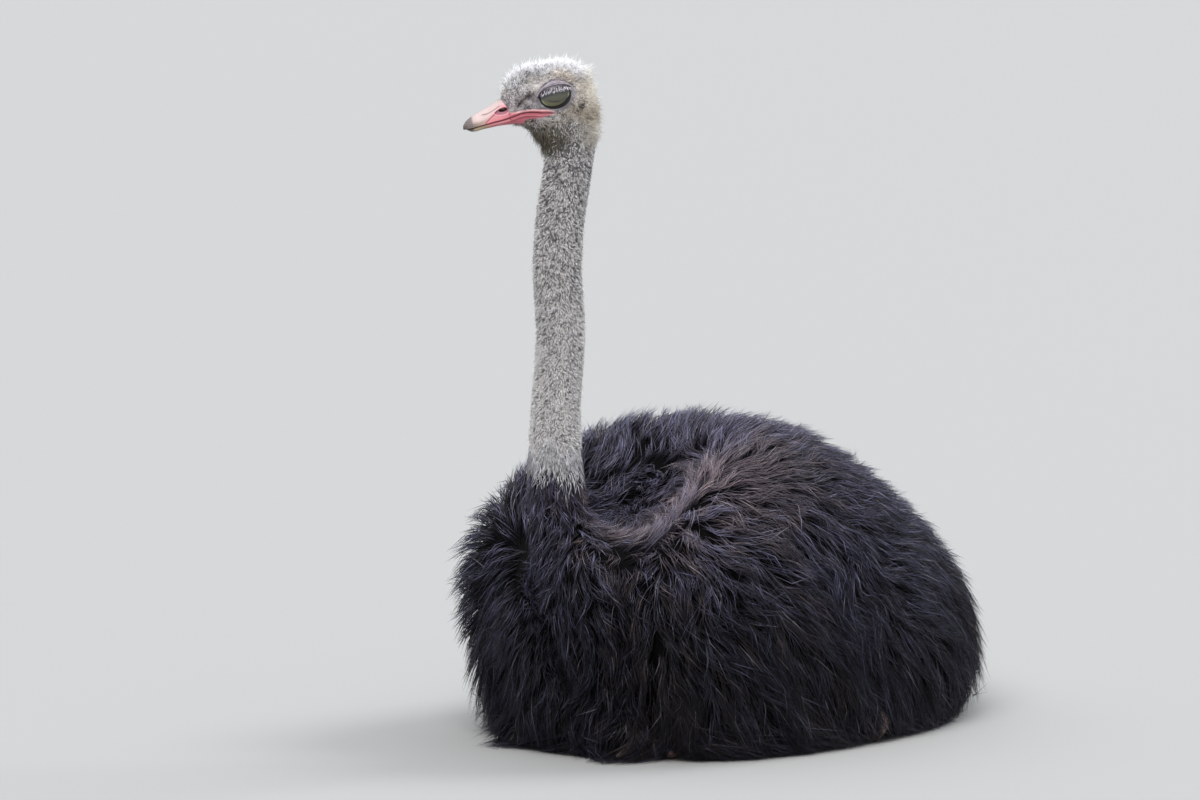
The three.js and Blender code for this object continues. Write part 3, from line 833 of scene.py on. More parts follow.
@dataclass(frozen=True)
class FeatherFinish(Finish):
    """Loose feather strands that take the colour painted on them, with a soft sheen."""

    roughness: float = 0.32
    gloss: float = 0.24
    sheen: float = 0.03
    sheen_tint: Tone = (0.62, 0.66, 0.90)
    grain: float = 0.30

    def build(self) -> bpy.types.Material:
        """Make the material."""
        material, n, shader = self.start()
        grain = self.blotches(n, n.place(), 90.0)
        shaded = n.toned(n.colour_of("tint"), grain, self.grain, (0.35, 0.33, 0.34))
        rough = n.maths("ADD", n.maths("MULTIPLY", grain, 0.16), self.roughness)
        n.feed(shader, Base_Color=shaded, Roughness=rough, Specular_IOR_Level=self.gloss,
               Sheen_Weight=self.sheen, Sheen_Roughness=0.4, Sheen_Tint=(*self.sheen_tint, 1))
        return material


@dataclass(frozen=True)
class SkinFinish(Finish):
    """Living skin: painted colours broken by speckles, with pores and fine creases."""

    def build(self) -> bpy.types.Material:
        """Make the material."""
        material, n, shader = self.start()
        place = n.place()
        parts = n.feed(n.add("ShaderNodeSeparateColor"), Color=n.colour_of("kind"))
        speckled, glossy, bare = parts.outputs[0], parts.outputs[1], parts.outputs[2]
        spots = self.use(n, GroupKit.pebbles(), Place=place, Size=330.0, Border=0.55)
        blotch = self.blotches(n, place, 120.0, 0.45)
        dark = n.maths("MULTIPLY", spots.outputs["Border"], n.ramp(blotch, 0.1, 0.9))
        dark = n.maths("MULTIPLY", dark, speckled)
        colour = n.mix(dark, n.colour_of("tint"), (0.16, 0.14, 0.135, 1), "MULTIPLY")
        soft = n.toned(colour, blotch, 0.45, (0.52, 0.48, 0.5))
        pores = self.use(n, GroupKit.pebbles(), Place=place, Size=900.0, Border=0.3).outputs["Height"]
        height = n.more(n.maths("MULTIPLY", self.creases(n, place, 160.0), 0.6), pores, 0.4)
        height = n.more(height, n.maths("MULTIPLY", spots.outputs["Height"], bare), 0.3)
        self.bump(n, shader, height, 0.5, 0.0009)
        rough = n.maths("SUBTRACT", n.more(0.62, blotch, 0.14), n.maths("MULTIPLY", glossy, 0.32))
        shine = n.more(0.05, n.maths("ADD", speckled, glossy), 0.4)
        n.feed(shader, Base_Color=soft, Roughness=rough, Subsurface_Weight=0.08, Subsurface_Scale=0.003,
               Subsurface_Radius=(1.0, 0.45, 0.35), Specular_IOR_Level=shine)
        return material


@dataclass(frozen=True)
class HornFinish(Finish):
    """Bill and claw horn: painted colours under a thin gloss, with fine lengthwise streaks."""

    roughness: float = 0.36
    streak: float = 0.28
    stretch: Tone = (260.0, 260.0, 60.0)
    layer: float = 0.12

    def build(self) -> bpy.types.Material:
        """Make the material."""
        material, n, shader = self.start()
        place = n.place()
        lines = self.creases(n, place, 1.0, Stretch=self.stretch)
        blotch = self.blotches(n, place, 150.0)
        worn = n.toned(n.colour_of("tint"), lines, self.streak, (0.42, 0.33, 0.33))
        colour = n.toned(worn, blotch, 0.22, (0.62, 0.5, 0.5))
        rough = n.more(self.roughness, blotch, 0.2)
        self.bump(n, shader, n.more(lines, blotch, 0.7), 0.35, 0.0006)
        n.feed(shader, Base_Color=colour, Roughness=rough, Coat_Weight=self.layer, Coat_Roughness=0.25)
        return material


@dataclass(frozen=True)
class LidFinish(Finish):
    """The moist, stretched skin of a closed lower lid."""

    def build(self) -> bpy.types.Material:
        """Make the material."""
        material, n, shader = self.start()
        place = n.place()
        blotch = self.blotches(n, place, 200.0)
        colour = n.toned(n.colour_of("tint"), blotch, 0.35, (0.55, 0.5, 0.48))
        rough = n.more(0.26, blotch, 0.18)
        self.bump(n, shader, self.creases(n, place, 240.0, Stretch=(1, 1, 3)), 0.25, 0.0005)
        n.feed(shader, Base_Color=colour, Roughness=rough, Coat_Weight=0.35, Coat_Roughness=0.14,
               Subsurface_Weight=0.06, Subsurface_Scale=0.002)
        return material


@dataclass(frozen=True)
class ScuteFinish(Finish):
    """Leg skin of small plates with dark borders."""

    size: float = 95.0

    def build(self) -> bpy.types.Material:
        """Make the material."""
        material, n, shader = self.start()
        place = n.place()
        plates = self.use(n, GroupKit.pebbles(), Place=place, Size=self.size, Border=0.16)
        blotch = self.blotches(n, place, 45.0)
        base = n.mix(blotch, (0.30, 0.185, 0.150, 1), (0.165, 0.105, 0.090, 1))
        border = n.maths("MULTIPLY", plates.outputs["Border"], 0.75)
        colour = n.mix(border, base, (0.055, 0.038, 0.034, 1))
        rough = n.more(0.5, blotch, 0.25)
        height = n.more(plates.outputs["Height"], self.creases(n, place, 220.0), 0.35)
        self.bump(n, shader, height, 0.8, 0.0016)
        n.feed(shader, Base_Color=colour, Roughness=rough)
        return material


@dataclass(frozen=True)
class ClawFinish(Finish):
    """Dark claw horn, scratched lengthwise and paler where it is worn."""

    def build(self) -> bpy.types.Material:
        """Make the material."""
        material, n, shader = self.start()
        place = n.place()
        lines = self.creases(n, place, 1.0, Stretch=(420.0, 90.0, 420.0))
        blotch = self.blotches(n, place, 110.0)
        base = n.mix(blotch, (0.042, 0.032, 0.028, 1), (0.105, 0.082, 0.068, 1))
        rough = n.more(0.40, lines, 0.22)
        self.bump(n, shader, lines, 0.4, 0.0006)
        n.feed(shader, Base_Color=n.mix(lines, base, (0.024, 0.019, 0.017, 1)), Roughness=rough)
        return material


@dataclass(frozen=True)
class FloorFinish(Finish):
    """Plain pale floor paint."""

    def build(self) -> bpy.types.Material:
        """Make the material."""
        material, n, shader = self.start()
        n.feed(shader, Base_Color=(0.345, 0.345, 0.34, 1), Roughness=0.9)
        return material


# ------------------------------------------------------------------ colours


def shade(red: int, green: int, blue: int) -> Array:
    """A colour given as it looks on a screen, 0 to 255, as light."""
    c = np.array([red, green, blue]) / 255
    return np.where(c < 0.04045, c / 12.92, ((c + 0.055) / 1.055) ** 2.4)


def over(base: Array, colour: Array, amount: Array) -> Array:
    """A colour laid over others by an amount per point."""
    return base + (colour - base) * np.clip(amount, 0, 1)[..., None]


def coloured(layout: int | tuple[int, ...], ground: tuple[int, int, int], *coats: tuple) -> Array:
    """Colours laid over one ground colour in turn.

    Args:
        layout: How many points there are, or the shape of their grid.
        ground: The first colour, 0 to 255.
        coats: Further colours, each with its amount per point. A colour is 0 to 255 and the same for
            all points, or an array of light per point.

    Returns:
        A colour per point, as light.
    """
    tint = np.broadcast_to(shade(*ground), (*np.atleast_1d(layout), 3))
    for colour, amount in coats:
        tint = over(tint, colour if isinstance(colour, np.ndarray) else shade(*colour), amount)
    return tint


# ------------------------------------------------------------------ skin


@dataclass
class Skin:
    """One seamless skin over body, neck and head, finer towards the face."""

    bird: BirdForm
    cell: float = 0.0065
    low: tuple[float, float, float] = (-0.34, -0.51, 0.0)
    high: tuple[float, float, float] = (0.34, 0.47, 1.03)
    points: Array | None = None
    normals: Array | None = None
    corners: Array | None = None

    def relief(self, s: Array, f: Array, u: Array, facing: Array) -> Array:
        """How far lids, folds, ear and lips stand out, in millimetres.

        Args:
            s: Places to the side.
            f: Places forward.
            u: Places up.
            facing: How much the surface faces sideways, 0 to 1.

        Returns:
            The relief at each place.
        """
        head = self.bird.head
        ring, edge, brow = head.eye_ring(f, u), head.lid_edge(f), head.brow(f)
        fold, ear, gap = head.lid_fold(f), head.ear_ring(f, u), u - head.mouth(f)
        near = 1 - smooth(ring, 1.02, 1.14)
        above = smooth(u - edge, -0.5, 0.5)
        span = smooth(f, -32, -24) * (1 - smooth(f, 21, 27))
        wander = Waves(51, 17.0).at(np.stack([s, f, u], -1))
        low = 1 - smooth(u - edge, -4, 2)
        out = 1.7 * near * above - 1.5 * near * (1 - above)
        out = out + 0.6 * bell(ring, 1.10, 0.07) * low - (0.25 + 0.3 * wander) * bell(ring, 1.30, 0.05) * low
        out = out + (0.25 + 0.4 * wander) * bell(ring, 1.45, 0.07) * low - 0.3 * bell(ring, 1.66, 0.06) * low
        out = out - 1.5 * bell(u - brow, -0.3, 0.9) * span + 2.2 * bell(u - brow, 4.6, 3.4) * span
        out = out - 1.5 * bell(u - fold, 0, 0.8) * span * near + 0.9 * bell(u - fold, 2.6, 1.5) * span
        folds = smooth(u - fold, 0.8, 2) * (1 - smooth(u - brow, -2.5, -1)) * span
        out = out + 0.4 * head.lid_ripple(f, u) * folds
        lips = smooth(f, -3, 8)
        out = out + lips * (0.8 * bell(gap, 3.0, 1.7) + 0.8 * bell(gap, -3.2, 1.9) - 2.1 * bell(gap, 0, 0.8))
        out = out - lips * (0.9 * bell(gap, 6.0, 0.9) + 0.6 * bell(gap, -5.6, 0.8)) * smooth(f, -2, 12)
        out = out - 2.8 * (1 - smooth(ear, 0.3, 1.0)) + 0.9 * bell(ear, 1.35, 0.3)
        out = out - 1.4 * head.streak(f, u) + 0.35 * wander * smooth(u - brow, 8, 14)
        return out * facing

    def tints(self, p: Array) -> tuple[Array, Array]:
        """The skin's markings, with painted shade in the creases and pleats over the eyes and in the ear
        openings.

        Args:
            p: Points in the model's frame.

        Returns:
            A colour per point, and how speckled, glossy and bare each point is.
        """
        bird, head = self.bird, self.bird.head
        s, f, u = head.to_local(p)
        side = smooth(np.abs(s), 10, 20)
        ring, ear, gap = head.eye_ring(f, u), head.ear_ring(f, u), u - head.mouth(f)
        brow, fold, edge = u - head.brow(f), u - head.lid_fold(f), u - head.lid_edge(f)
        on_head = 1 - smooth(head.distance(p) / MM, 3, 14)
        wander = Waves(3, 0.02).at(p) * 0.5
        neck_black = 1 - smooth(p[:, 2] + 0.01 * wander, 0.405, 0.432)
        black = np.maximum(neck_black, 1 - smooth(bird.body_distance(p), -0.006, 0.004))

        lores = on_head * smooth(f, 14, 30) * (1 - smooth(u, -4, 9)) * side
        cheek = on_head * bell(u, -20, 13) * (1 - smooth(f, -30, 6)) * side
        throat = on_head * (1 - smooth(u, -50, -32)) * smooth(f, -40, 0)
        jaw = side * on_head * smooth(f, 22, 34) * (1 - smooth(f, 46, 49)) * bell(gap, -13.5, 4.5)
        low = np.maximum(1 - smooth(edge, -2, 10), smooth(-f, 14, 26))
        bare = side * on_head * (1 - smooth(ring + 0.10 * wander, 1.14, 1.5)) * low
        span = smooth(f, -33, -25) * (1 - smooth(f, 22, 28)) * side
        lid = side * (1 - smooth(ring, 1.04, 1.16)) * smooth(edge, -0.6, 0.6)
        between = span * smooth(fold, -0.5, 1.0) * (1 - smooth(brow, -1.5, 0.5))
        below = side * (1 - smooth(edge, -0.5, 0.5))
        upper = through((-4, 0, 10, 20, 38, 48, 58, 66, 72, 80),
                        (1.5, 3, 5, 5, 4.6, 4.4, 6.8, 8.6, 9.2, 9.6), f)
        lower = through((-3, 3, 10, 15, 20, 33, 41, 44, 46, 58, 70),
                        (-1, -1.6, -3.6, -6, -7.2, -8.6, -9.8, -12, -15.6, -12.6, -13), f)
        lips = side * smooth(f, -5, 3) * smooth(upper - gap, -0.7, 0.7)
        lips = lips * smooth(gap - lower, -0.8, 0.8) * on_head
        cracks = bell(gap + 0.4 * np.sin(f * 0.5), 2.1, 0.5), bell(gap + 0.5 * np.sin(f * 0.4), -5.6, 0.5)
        bare_skin = coloured(len(p), (128, 125, 130), ((98, 92, 98), smooth(wander, -0.2, 0.5)))
        lid_skin = coloured(len(p), (44, 39, 43), ((128, 118, 130), smooth(edge, 3, 7)))
        tint = coloured(
            len(p), (190, 187, 186),
            ((234, 230, 232), on_head * smooth(u, 4, 22)),
            ((240, 224, 208), on_head * side * bell(brow, 9, 6) * (1 - smooth(f, 8, 30)) * 0.8),
            ((168, 160, 164), lores * 0.9),
            ((236, 228, 216), on_head * (1 - smooth(f, -46, -24)) * smooth(u, -50, -20) * 0.8),
            ((76, 64, 58), on_head * side * head.streak(f, u) * 0.9),
            ((150, 138, 120), cheek * smooth(f, -50, -32) * 0.75),
            ((80, 74, 54), throat * 0.9),
            (bare_skin, bare * 0.95),
            (lid_skin, lid),
            ((190, 180, 190), between),
            # painted shade in the troughs of the pleats between the creases
            ((92, 86, 100), between * bell(head.lid_ripple(f, u), -1, 0.35)),
            # painted shade in the brow's crease and in the lid's fold
            ((34, 30, 34), span * bell(brow, -0.3, 0.75) * 0.85),
            ((28, 26, 32), span * bell(fold, 0, 0.7) * (1 - smooth(ring, 1.05, 1.2)) * 0.95),
            ((36, 32, 38), side * bell(edge, 0, 1.1) * (1 - smooth(ring, 1.0, 1.12))),
            ((26, 23, 26), below * (1 - smooth(ring, 1.0, 1.06))),
            ((128, 112, 92), jaw * 0.9),
            ((212, 124, 136), lips * (0.45 + 0.55 * smooth(f, 2, 18))),
            ((196, 92, 108), lips * bell(gap, -5.6, 2.4) * smooth(f, 12, 40) * 0.8),
            ((234, 190, 188), lips * bell(gap - upper, -1.0, 1.0) * 0.85),
            ((180, 82, 96), lips * bell(gap, -1.6, 0.8) * 0.85),
            ((220, 156, 158), lips * bell(gap, -3.6, 0.8) * 0.7),
            ((150, 84, 92), lips * cracks[0] * smooth(f, 6, 20) * 0.7),
            ((150, 84, 92), lips * cracks[1] * 0.7),
            ((88, 34, 44), lips * bell(gap, 0, 0.7) * 0.9),
            # painted shade inside the sunk ear opening
            ((58, 50, 52), side * on_head * (1 - smooth(ear, 0.7, 1.5)) * 0.95),
            ((8, 7, 8), black))
        speckled = (1 - black) * (1 - lips) * np.where(ring < 1.3, 0.3, 1.0)
        glossy = np.clip(lips * 0.7 + side * on_head * (1 - smooth(ring, 1.1, 1.4)) * 0.3, 0, 1)
        return tint, np.stack([speckled, glossy, 1 - lips], axis=-1)

    def build(self, finish: bpy.types.Material) -> bpy.types.Object:
        """Make the skin and dress it."""
        bird, cell, limit = self.bird, self.cell, 0.05
        first = np.floor(np.array(self.low) / cell).astype(int)
        count = np.ceil((np.array(self.high) - self.low) / cell).astype(int)
        axes = [(np.arange(c) + a) * cell for a, c in zip(first, count)]
        y, z = np.meshgrid(axes[1], axes[2], indexing="ij")
        values = np.stack([bird.skin(np.stack([np.full_like(y, x), y, z], axis=-1)) for x in axes[0]])
        values = np.clip(values.astype(np.float32), -limit, limit)
        level = openvdb.FloatGrid(background=limit)
        level.copyFromArray(values, ijk=tuple(int(v) for v in first))
        level.transform = openvdb.createLinearTransform(voxelSize=cell)
        points, quads = level.convertToQuads(0.0)
        points = bird.settle(bird.skin, points.astype(float))
        piece = new_piece("skin", points, [quads[:, ::-1]])
        for near in (self._neck_and_head, self._head_only, self._face_only):
            self._refine(piece, near)
        self._shape_face(piece)
        return place_piece(piece, "down", finish, "trunk", "neck_base", "neck_lower", "neck_upper", "head",
                           "wing_left", "wing_right", "thigh_left", "thigh_right")

    def _neck_and_head(self, p: Array) -> Array:
        """Whether points are on the bare neck or the head."""
        return (p[:, 2] > 0.40) & (self.bird.neck.distance(p) < 0.02) | (self.bird.head.distance(p) < 0.02)

    def _head_only(self, p: Array) -> Array:
        """Whether points are on the head or close under it."""
        return (self.bird.head.distance(p) < 0.006) & (p[:, 2] > 0.86)

    def _face_only(self, p: Array) -> Array:
        """Whether points are round the eyes, ears and mouth."""
        s, f, u = self.bird.head.to_local(p)
        around = np.hypot(f / 36, (u - 4) / 30) < 1
        mouth = (np.abs(u - self.bird.head.mouth(f)) < 12) & (f > -8)
        return (np.abs(s) > 12) & (around | mouth) & (self.bird.head.distance(p) < 0.006)

    def _refine(self, piece: bpy.types.Object, near: Callable[[Array], Array]) -> None:
        """Halve the quads in a region and set the new points on the skin."""
        work = bmesh.new()
        work.from_mesh(piece.data)
        work.verts.ensure_lookup_table()
        inside = near(np.array([v.co[:] for v in work.verts], float))
        edges = [e for e in work.edges if inside[e.verts[0].index] and inside[e.verts[1].index]]
        bmesh.ops.subdivide_edges(work, edges=edges, cuts=1, use_grid_fill=True)
        bmesh.ops.triangulate(work, faces=[f for f in work.faces if len(f.verts) > 4])
        work.to_mesh(piece.data)
        work.free()
        points = points_of(piece.data)
        chosen = near(points)
        points[chosen] = self.bird.settle(self.bird.skin, points[chosen])
        move_points(piece.data, points)

    def _shape_face(self, piece: bpy.types.Object) -> None:
        """Raise the folds, paint the markings with their painted shade and keep the surface for the coat to
        grow on.
        """
        bird, mesh = self.bird, piece.data
        points = points_of(mesh)
        normals = bird.slope(bird.skin, points)
        tint, kind = self.tints(points)
        s, f, u = bird.head.to_local(points)
        near = bird.head.distance(points) < 0.004
        c, t = math.cos(bird.head.turn), math.sin(bird.head.turn)
        facing = smooth(np.abs(normals[:, 0] * c + normals[:, 1] * t), 0.25, 0.6) * near
        points = points + normals * (self.relief(s, f, u, facing) * MM)[:, None]
        mesh.polygons.foreach_set("use_smooth", np.ones(len(mesh.polygons), bool))
        move_points(mesh, points)
        paint(piece, "tint", tint)
        paint(piece, "kind", kind)
        mesh.calc_loop_triangles()
        corners = np.empty(len(mesh.loop_triangles) * 3, np.int32)
        mesh.loop_triangles.foreach_get("vertices", corners)
        self.points, self.normals, self.corners = points, normals, corners.reshape(-1, 3)

    def scatter(self, count: int, weight: Callable[[Array], Array], seed: int) -> tuple[Array, Array]:
        """Random places on the skin.

        Args:
            count: How many places.
            weight: How thickly the places stand, by point.
            seed: The seed of the choice.

        Returns:
            Points and the skin's directions there.
        """
        rng = np.random.default_rng(seed)
        a, b, c = (self.points[self.corners[:, i]] for i in range(3))
        area = np.linalg.norm(np.cross(b - a, c - a), axis=1) * weight((a + b + c) / 3)
        chosen = rng.choice(len(area), size=count, p=area / area.sum())
        u, v = rng.random(count), rng.random(count)
        flip = u + v > 1
        u, v = np.where(flip, 1 - u, u)[:, None], np.where(flip, 1 - v, v)[:, None]
        k, shares = self.corners[chosen], (1 - u - v, u, v)
        point, normal = (sum(of[k[:, i]] * share for i, share in enumerate(shares))
                         for of in (self.points, self.normals))
        return point, unit(normal)


# ------------------------------------------------------------------ face


def ring_mesh(rings: Array) -> tuple[Array, list[Array]]:
    """A closed solid through closed rings of points.

    Args:
        rings: Points by ring and by place round it.

    Returns:
        Its points, and its faces as blocks of quads and triangles.
    """
    rows, around = rings.shape[:2]
    points = np.concatenate([rings.reshape(-1, 3), rings[0].mean(0)[None], rings[-1].mean(0)[None]])
    j = np.arange(around)
    k = (j + 1) % around
    last = (rows - 1) * around
    start = np.stack([k, j, np.full(around, rows * around)], -1)
    end = np.stack([last + j, last + k, np.full(around, rows * around + 1)], -1)
    return points, [ring_quads(rows, around), np.concatenate([start, end])]


@dataclass
class Eyes:
    """The two closed eyes: globes under stretched lower lids, with lashes along the upper lids."""

    head: HeadForm
    around: int = 84
    along: int = 56
    lashes: int = 78
    lash_length: float = 10.4

    def globe(self, sign: int, finish: bpy.types.Material) -> bpy.types.Object:
        """One eye with its lower lid drawn up over it."""
        head = self.head
        t = np.linspace(0.015, math.pi - 0.015, self.along)
        a = np.linspace(0, 2 * math.pi, self.around, endpoint=False)
        tt, aa = np.meshgrid(t, a, indexing="ij")
        out, along, up = np.cos(tt), np.sin(tt) * np.cos(aa), np.sin(tt) * np.sin(aa)
        c, k = math.cos(head.globe_tilt), math.sin(head.globe_tilt)
        f = along * head.globe[1] * c + up * head.globe[2] * k
        u = -along * head.globe[1] * k + up * head.globe[2] * c
        ring, crease = head.eye_ring(f, u), -8.8 + 0.014 * (f - 1) ** 2
        gap = u - head.lid_edge(f)
        dent = 0.45 * bell(u, crease, 0.8) * (1 - smooth(ring, 0.8, 1)) + 0.5 * smooth(gap, -1.2, 0.0)
        s = head.globe_out + out * (head.globe[0] - np.where(out > 0, dent, 0))
        # painted shade along the lower lid's sunk crease
        middle = bell(u, crease, 1.2) * (1 - smooth(np.abs(f - 1), 5, 13))
        tint = coloured(
            f.shape, (84, 84, 70),
            ((110, 110, 76), bell(u - crease, -4.6, 3.2)),
            ((70, 73, 72), smooth(gap, -9, -3)),
            # painted shade on the globe under the upper lid and its lashes
            ((40, 38, 38), smooth(gap, -5, -1.5) * 0.8),
            # painted shade in the crease
            ((48, 34, 24), middle * 0.85),
            ((196, 194, 160), bell(ring, 0.87, 0.042) * smooth(-gap, 4, 11) * 0.8),
            ((20, 17, 20), smooth(ring, 0.93, 1.0)),
            # painted shade, darkest right under the upper lid's edge
            ((18, 16, 20), smooth(gap, -2.4, -0.4) * 0.9))
        points, faces = ring_mesh(head.to_model(sign * s, f, u))
        if sign > 0:
            faces = [block[:, ::-1] for block in faces]
        piece = new_piece(f"eye_globe_{SIDES[sign]}", points, faces)
        paint(piece, "tint", np.concatenate([tint.reshape(-1, 3), tint[0, :1], tint[-1, :1]]))
        return place_piece(piece, "eye", finish, f"eye_{SIDES[sign]}")

    def fringe(self, sign: int, finish: bpy.types.Material) -> bpy.types.Object:
        """The pale lashes that hang from one upper lid."""
        head, rng = self.head, np.random.default_rng(40 + sign)
        count = self.lashes
        f = np.linspace(-21.5, 19.5, count) + rng.normal(0, 0.3, count)
        row = rng.random(count)
        u = head.lid_fold(f) - 0.4 + (head.lid_edge(f) + 0.5 - head.lid_fold(f)) * row
        along, up = head.tilted(f, u)
        inside = 1 - (along / (head.globe[1] + 2.5)) ** 2 - (up / (head.globe[2] + 2.5)) ** 2
        inside = np.clip(inside, 0.02, 1)
        s = head.globe_out + (head.globe[0] + 1.6) * np.sqrt(inside)
        ends = 0.55 + 0.45 * np.sin(np.linspace(0.35, 2.9, count))
        long = self.lash_length * rng.uniform(0.75, 1.15, count) * ends * (1.0 - 0.45 * row)
        lean = rng.normal(0, 0.13, count) + np.clip(-f, -6, 22) * 0.024
        steps = np.array([0.0, 0.35, 0.7, 1.0])[None]
        ss = s[:, None] + long[:, None] * (0.42 * steps - 0.06 * steps**2)
        ff = f[:, None] - long[:, None] * lean[:, None] * steps
        uu = u[:, None] - long[:, None] * (0.55 * steps + 0.32 * steps**2)
        paths = head.to_model(sign * ss, ff, uu)
        tints = np.broadcast_to(shade(240, 232, 240), (count, 4, 3)) * rng.uniform(0.50, 1.05, (count, 1, 1))
        spikes = Spikes(paths, np.tile([0.00032, 0.00028, 0.00016], (count, 1)),
                        np.tile([0.0, 0.0, 1.0], (count, 1)) + rng.normal(0, 0.2, (count, 3)), tints,
                        np.stack([np.linspace(0, 1, count), np.full(count, 0.5)], -1), flatness=0.9)
        return place_piece(spikes.build(f"lashes_{SIDES[sign]}"), "face", finish)


@dataclass
class Bill:
    """The broad, flat bill: a pink upper half with nostrils and a horn nail, over a thin lower half."""

    head: HeadForm
    root: float = 56.0
    tip: float = 132.0
    lower_tip: float = 127.0
    rows: int = 150
    over_top: int = 110
    under: int = 26

    def _places(self, low: float, high: float) -> Array:
        """Stations along the bill, closer at the rounded tip."""
        t = np.linspace(0, 1, self.rows)
        return low + (high - low) * (1 - (1 - t) ** 1.25)

    def _nostril(self, f: Array, u: Array) -> Array:
        """Place over the nostril's recess: 1 at its rim."""
        c, k = math.cos(math.radians(15)), math.sin(math.radians(15))
        along, up = (f - 77) * c - (u + 24.4) * k, (f - 77) * k + (u + 24.4) * c
        return np.hypot(along / 10.4, up / (4.6 - 0.16 * along))

    @staticmethod
    def _nail(f: Array, u: Array, low: float, high: float) -> Array:
        """How far on to the horn nail at the tip places are, 0 to 1."""
        return smooth(f - 117 - (u + 42) * 0.35, low, high)

    @staticmethod
    def _blunt(f: Array, start: float, tip: float, power: float) -> Array:
        """How far the tip has rounded off, from 1 down to almost 0."""
        return np.sqrt(np.clip(1 - np.clip((f - start) / (tip + 0.2 - start), 0, 1) ** power, 0.0004, 1))

    def _rings(self, f: Array, s: Array, u: Array, s_flat: Array, u_flat: Array) -> Array:
        """Rings round one half, through its arched side and its flat one."""
        sides, flats = (s, f + 0 * s, u), (s_flat, f + 0 * s_flat, u_flat)
        return self.head.to_model(*(np.concatenate(pair, 1) for pair in zip(sides, flats)))

    @staticmethod
    def _line(f: Array, u: Array, places: Sequence[float], heights: Sequence[float], wide: float) -> Array:
        """A thin groove along a curve on the bill's side."""
        ends = smooth(f, places[0] - 1, places[0] + 2) * (1 - smooth(f, places[-1] - 2, places[-1] + 1))
        return bell(u, through(places, heights, f), wide) * ends

    def upper(self, finish: bpy.types.Material) -> bpy.types.Object:
        """The upper half."""
        f = self._places(self.root, self.tip)[:, None]
        top = through((56, 66, 73, 80.6, 89.2, 99.4, 109.5, 118.9, 124.9, 129, 132),
                      (4, 1.2, -2.8, -7.9, -13.8, -20.4, -26.3, -32.2, -36.8, -41, -46), f)
        wide = through((56, 66, 75, 85, 94, 103, 112, 118, 124),
                       (18.5, 21.4, 23.2, 22.2, 20.8, 19.2, 17.8, 16.8, 16), f)
        blunt = self._blunt(f, 119, self.tip, 2.6)
        wide = wide * blunt
        mouth = self.head.mouth(f) - 0.6 * smooth(f, 118, 128)
        a = np.linspace(0, math.pi, self.over_top)[None]
        s = wide * np.sign(np.cos(a)) * np.abs(np.cos(a)) ** 0.86
        hollow = 0.10 * np.sin(2 * a) ** 2 * smooth(f, 72, 84) * (1 - smooth(f, 104, 116))
        u = mouth + (top - mouth) * (np.sin(a) ** 0.80 - hollow)
        f_all = np.broadcast_to(f, s.shape)
        ring = self._nostril(f_all, u)
        hole = np.hypot((f_all - 74.6) / 6.4, (u + 21.8 + (f_all - 74.6) * 0.25) / 3.0)
        side = smooth(np.abs(s), 6, 11)
        nail_edge = self._line(f_all, u, (84, 94.2, 100.8), (-26.0, -35.7, -43.4), 0.8) * side
        shelf = self._line(f_all, u, (79, 87.4, 97.7, 106), (-16, -22.1, -28, -30), 0.7) * side
        nail = self._nail(f_all, u, -2.0, 2.0)
        sunk = 2.6 * (1 - smooth(ring, 0.72, 1.05)) * side + 4.5 * (1 - smooth(hole, 0.6, 1.05)) * side
        sunk = sunk + 0.8 * nail_edge + 0.6 * shelf - 0.7 * nail * blunt
        sunk = sunk - 0.5 * bell(ring, 1.22, 0.14) * side
        lip = 0.5 * bell(u - mouth, 1.6, 1.2) * (1 - smooth(f_all, 112, 120))
        s_out = s - np.sign(s) * (sunk - lip) * np.abs(np.cos(a)) ** 0.3
        u_out = u - 0.35 * sunk * np.sin(a) * (ring > 1.3)
        b = np.linspace(-1, 1, self.under + 2)[None, 1:-1]
        s_low = wide * b
        u_low = mouth + 0.9 + 1.8 * (1 - b**2) * smooth(f, 60, 70) * blunt
        rings = self._rings(f, s_out, u_out, s_low, u_low)
        streaks = np.sin(u * 2.3 + 0.9 * np.sin(f_all * 0.35)) * 0.5 + 0.5
        rise = u - mouth
        tan = smooth(f_all - 97 - (u + 36) * -0.9, -5, 5)
        horn = coloured(s.shape, (124, 114, 114), ((72, 58, 54), streaks * 0.6))
        flap = bell(np.hypot((f_all - 75.5) / 4.4, (u + 20.6) / 0.9), 0, 0.8) * side
        tint = coloured(
            s.shape, (216, 144, 150),
            ((234, 198, 202), smooth(np.sin(a) + 0 * f, 0.4, 0.9) * (0.55 + 0.4 * streaks)),
            ((216, 122, 134), (1 - smooth(rise, 1.5, 6)) * (1 - smooth(f_all, 92, 106))),
            ((204, 186, 182), tan * 0.9),
            ((128, 112, 84), tan * (1 - smooth(rise, 2, 9)) * 0.8),
            ((98, 74, 62), smooth(f_all, 108, 114) * streaks * (1 - smooth(rise, 4, 11)) * 0.8),
            (horn, self._nail(f_all, u, -3, 2) * 0.95),
            ((62, 52, 50), smooth(f_all, 122, 131) * (1 - smooth(rise, 1, 7)) * 0.85),
            ((98, 54, 56), np.clip(nail_edge * 0.9 + shelf * 0.8, 0, 1)),
            ((150, 86, 104), (1 - smooth(ring, 0.8, 1.1)) * side),
            # painted shade: near black in the sunk nostril opening
            ((22, 10, 12), (1 - smooth(hole, 0.75, 1.1)) * side),
            ((206, 170, 156), flap),
            ((70, 34, 38), (1 - smooth(rise, 0.2, 1.2)) * 0.85))
        low_tint = coloured(s_low.shape, (150, 80, 82))
        whole = np.concatenate([tint, low_tint], 1)
        return self._finish("bill_horn_upper", rings, whole, finish, "bill_upper")

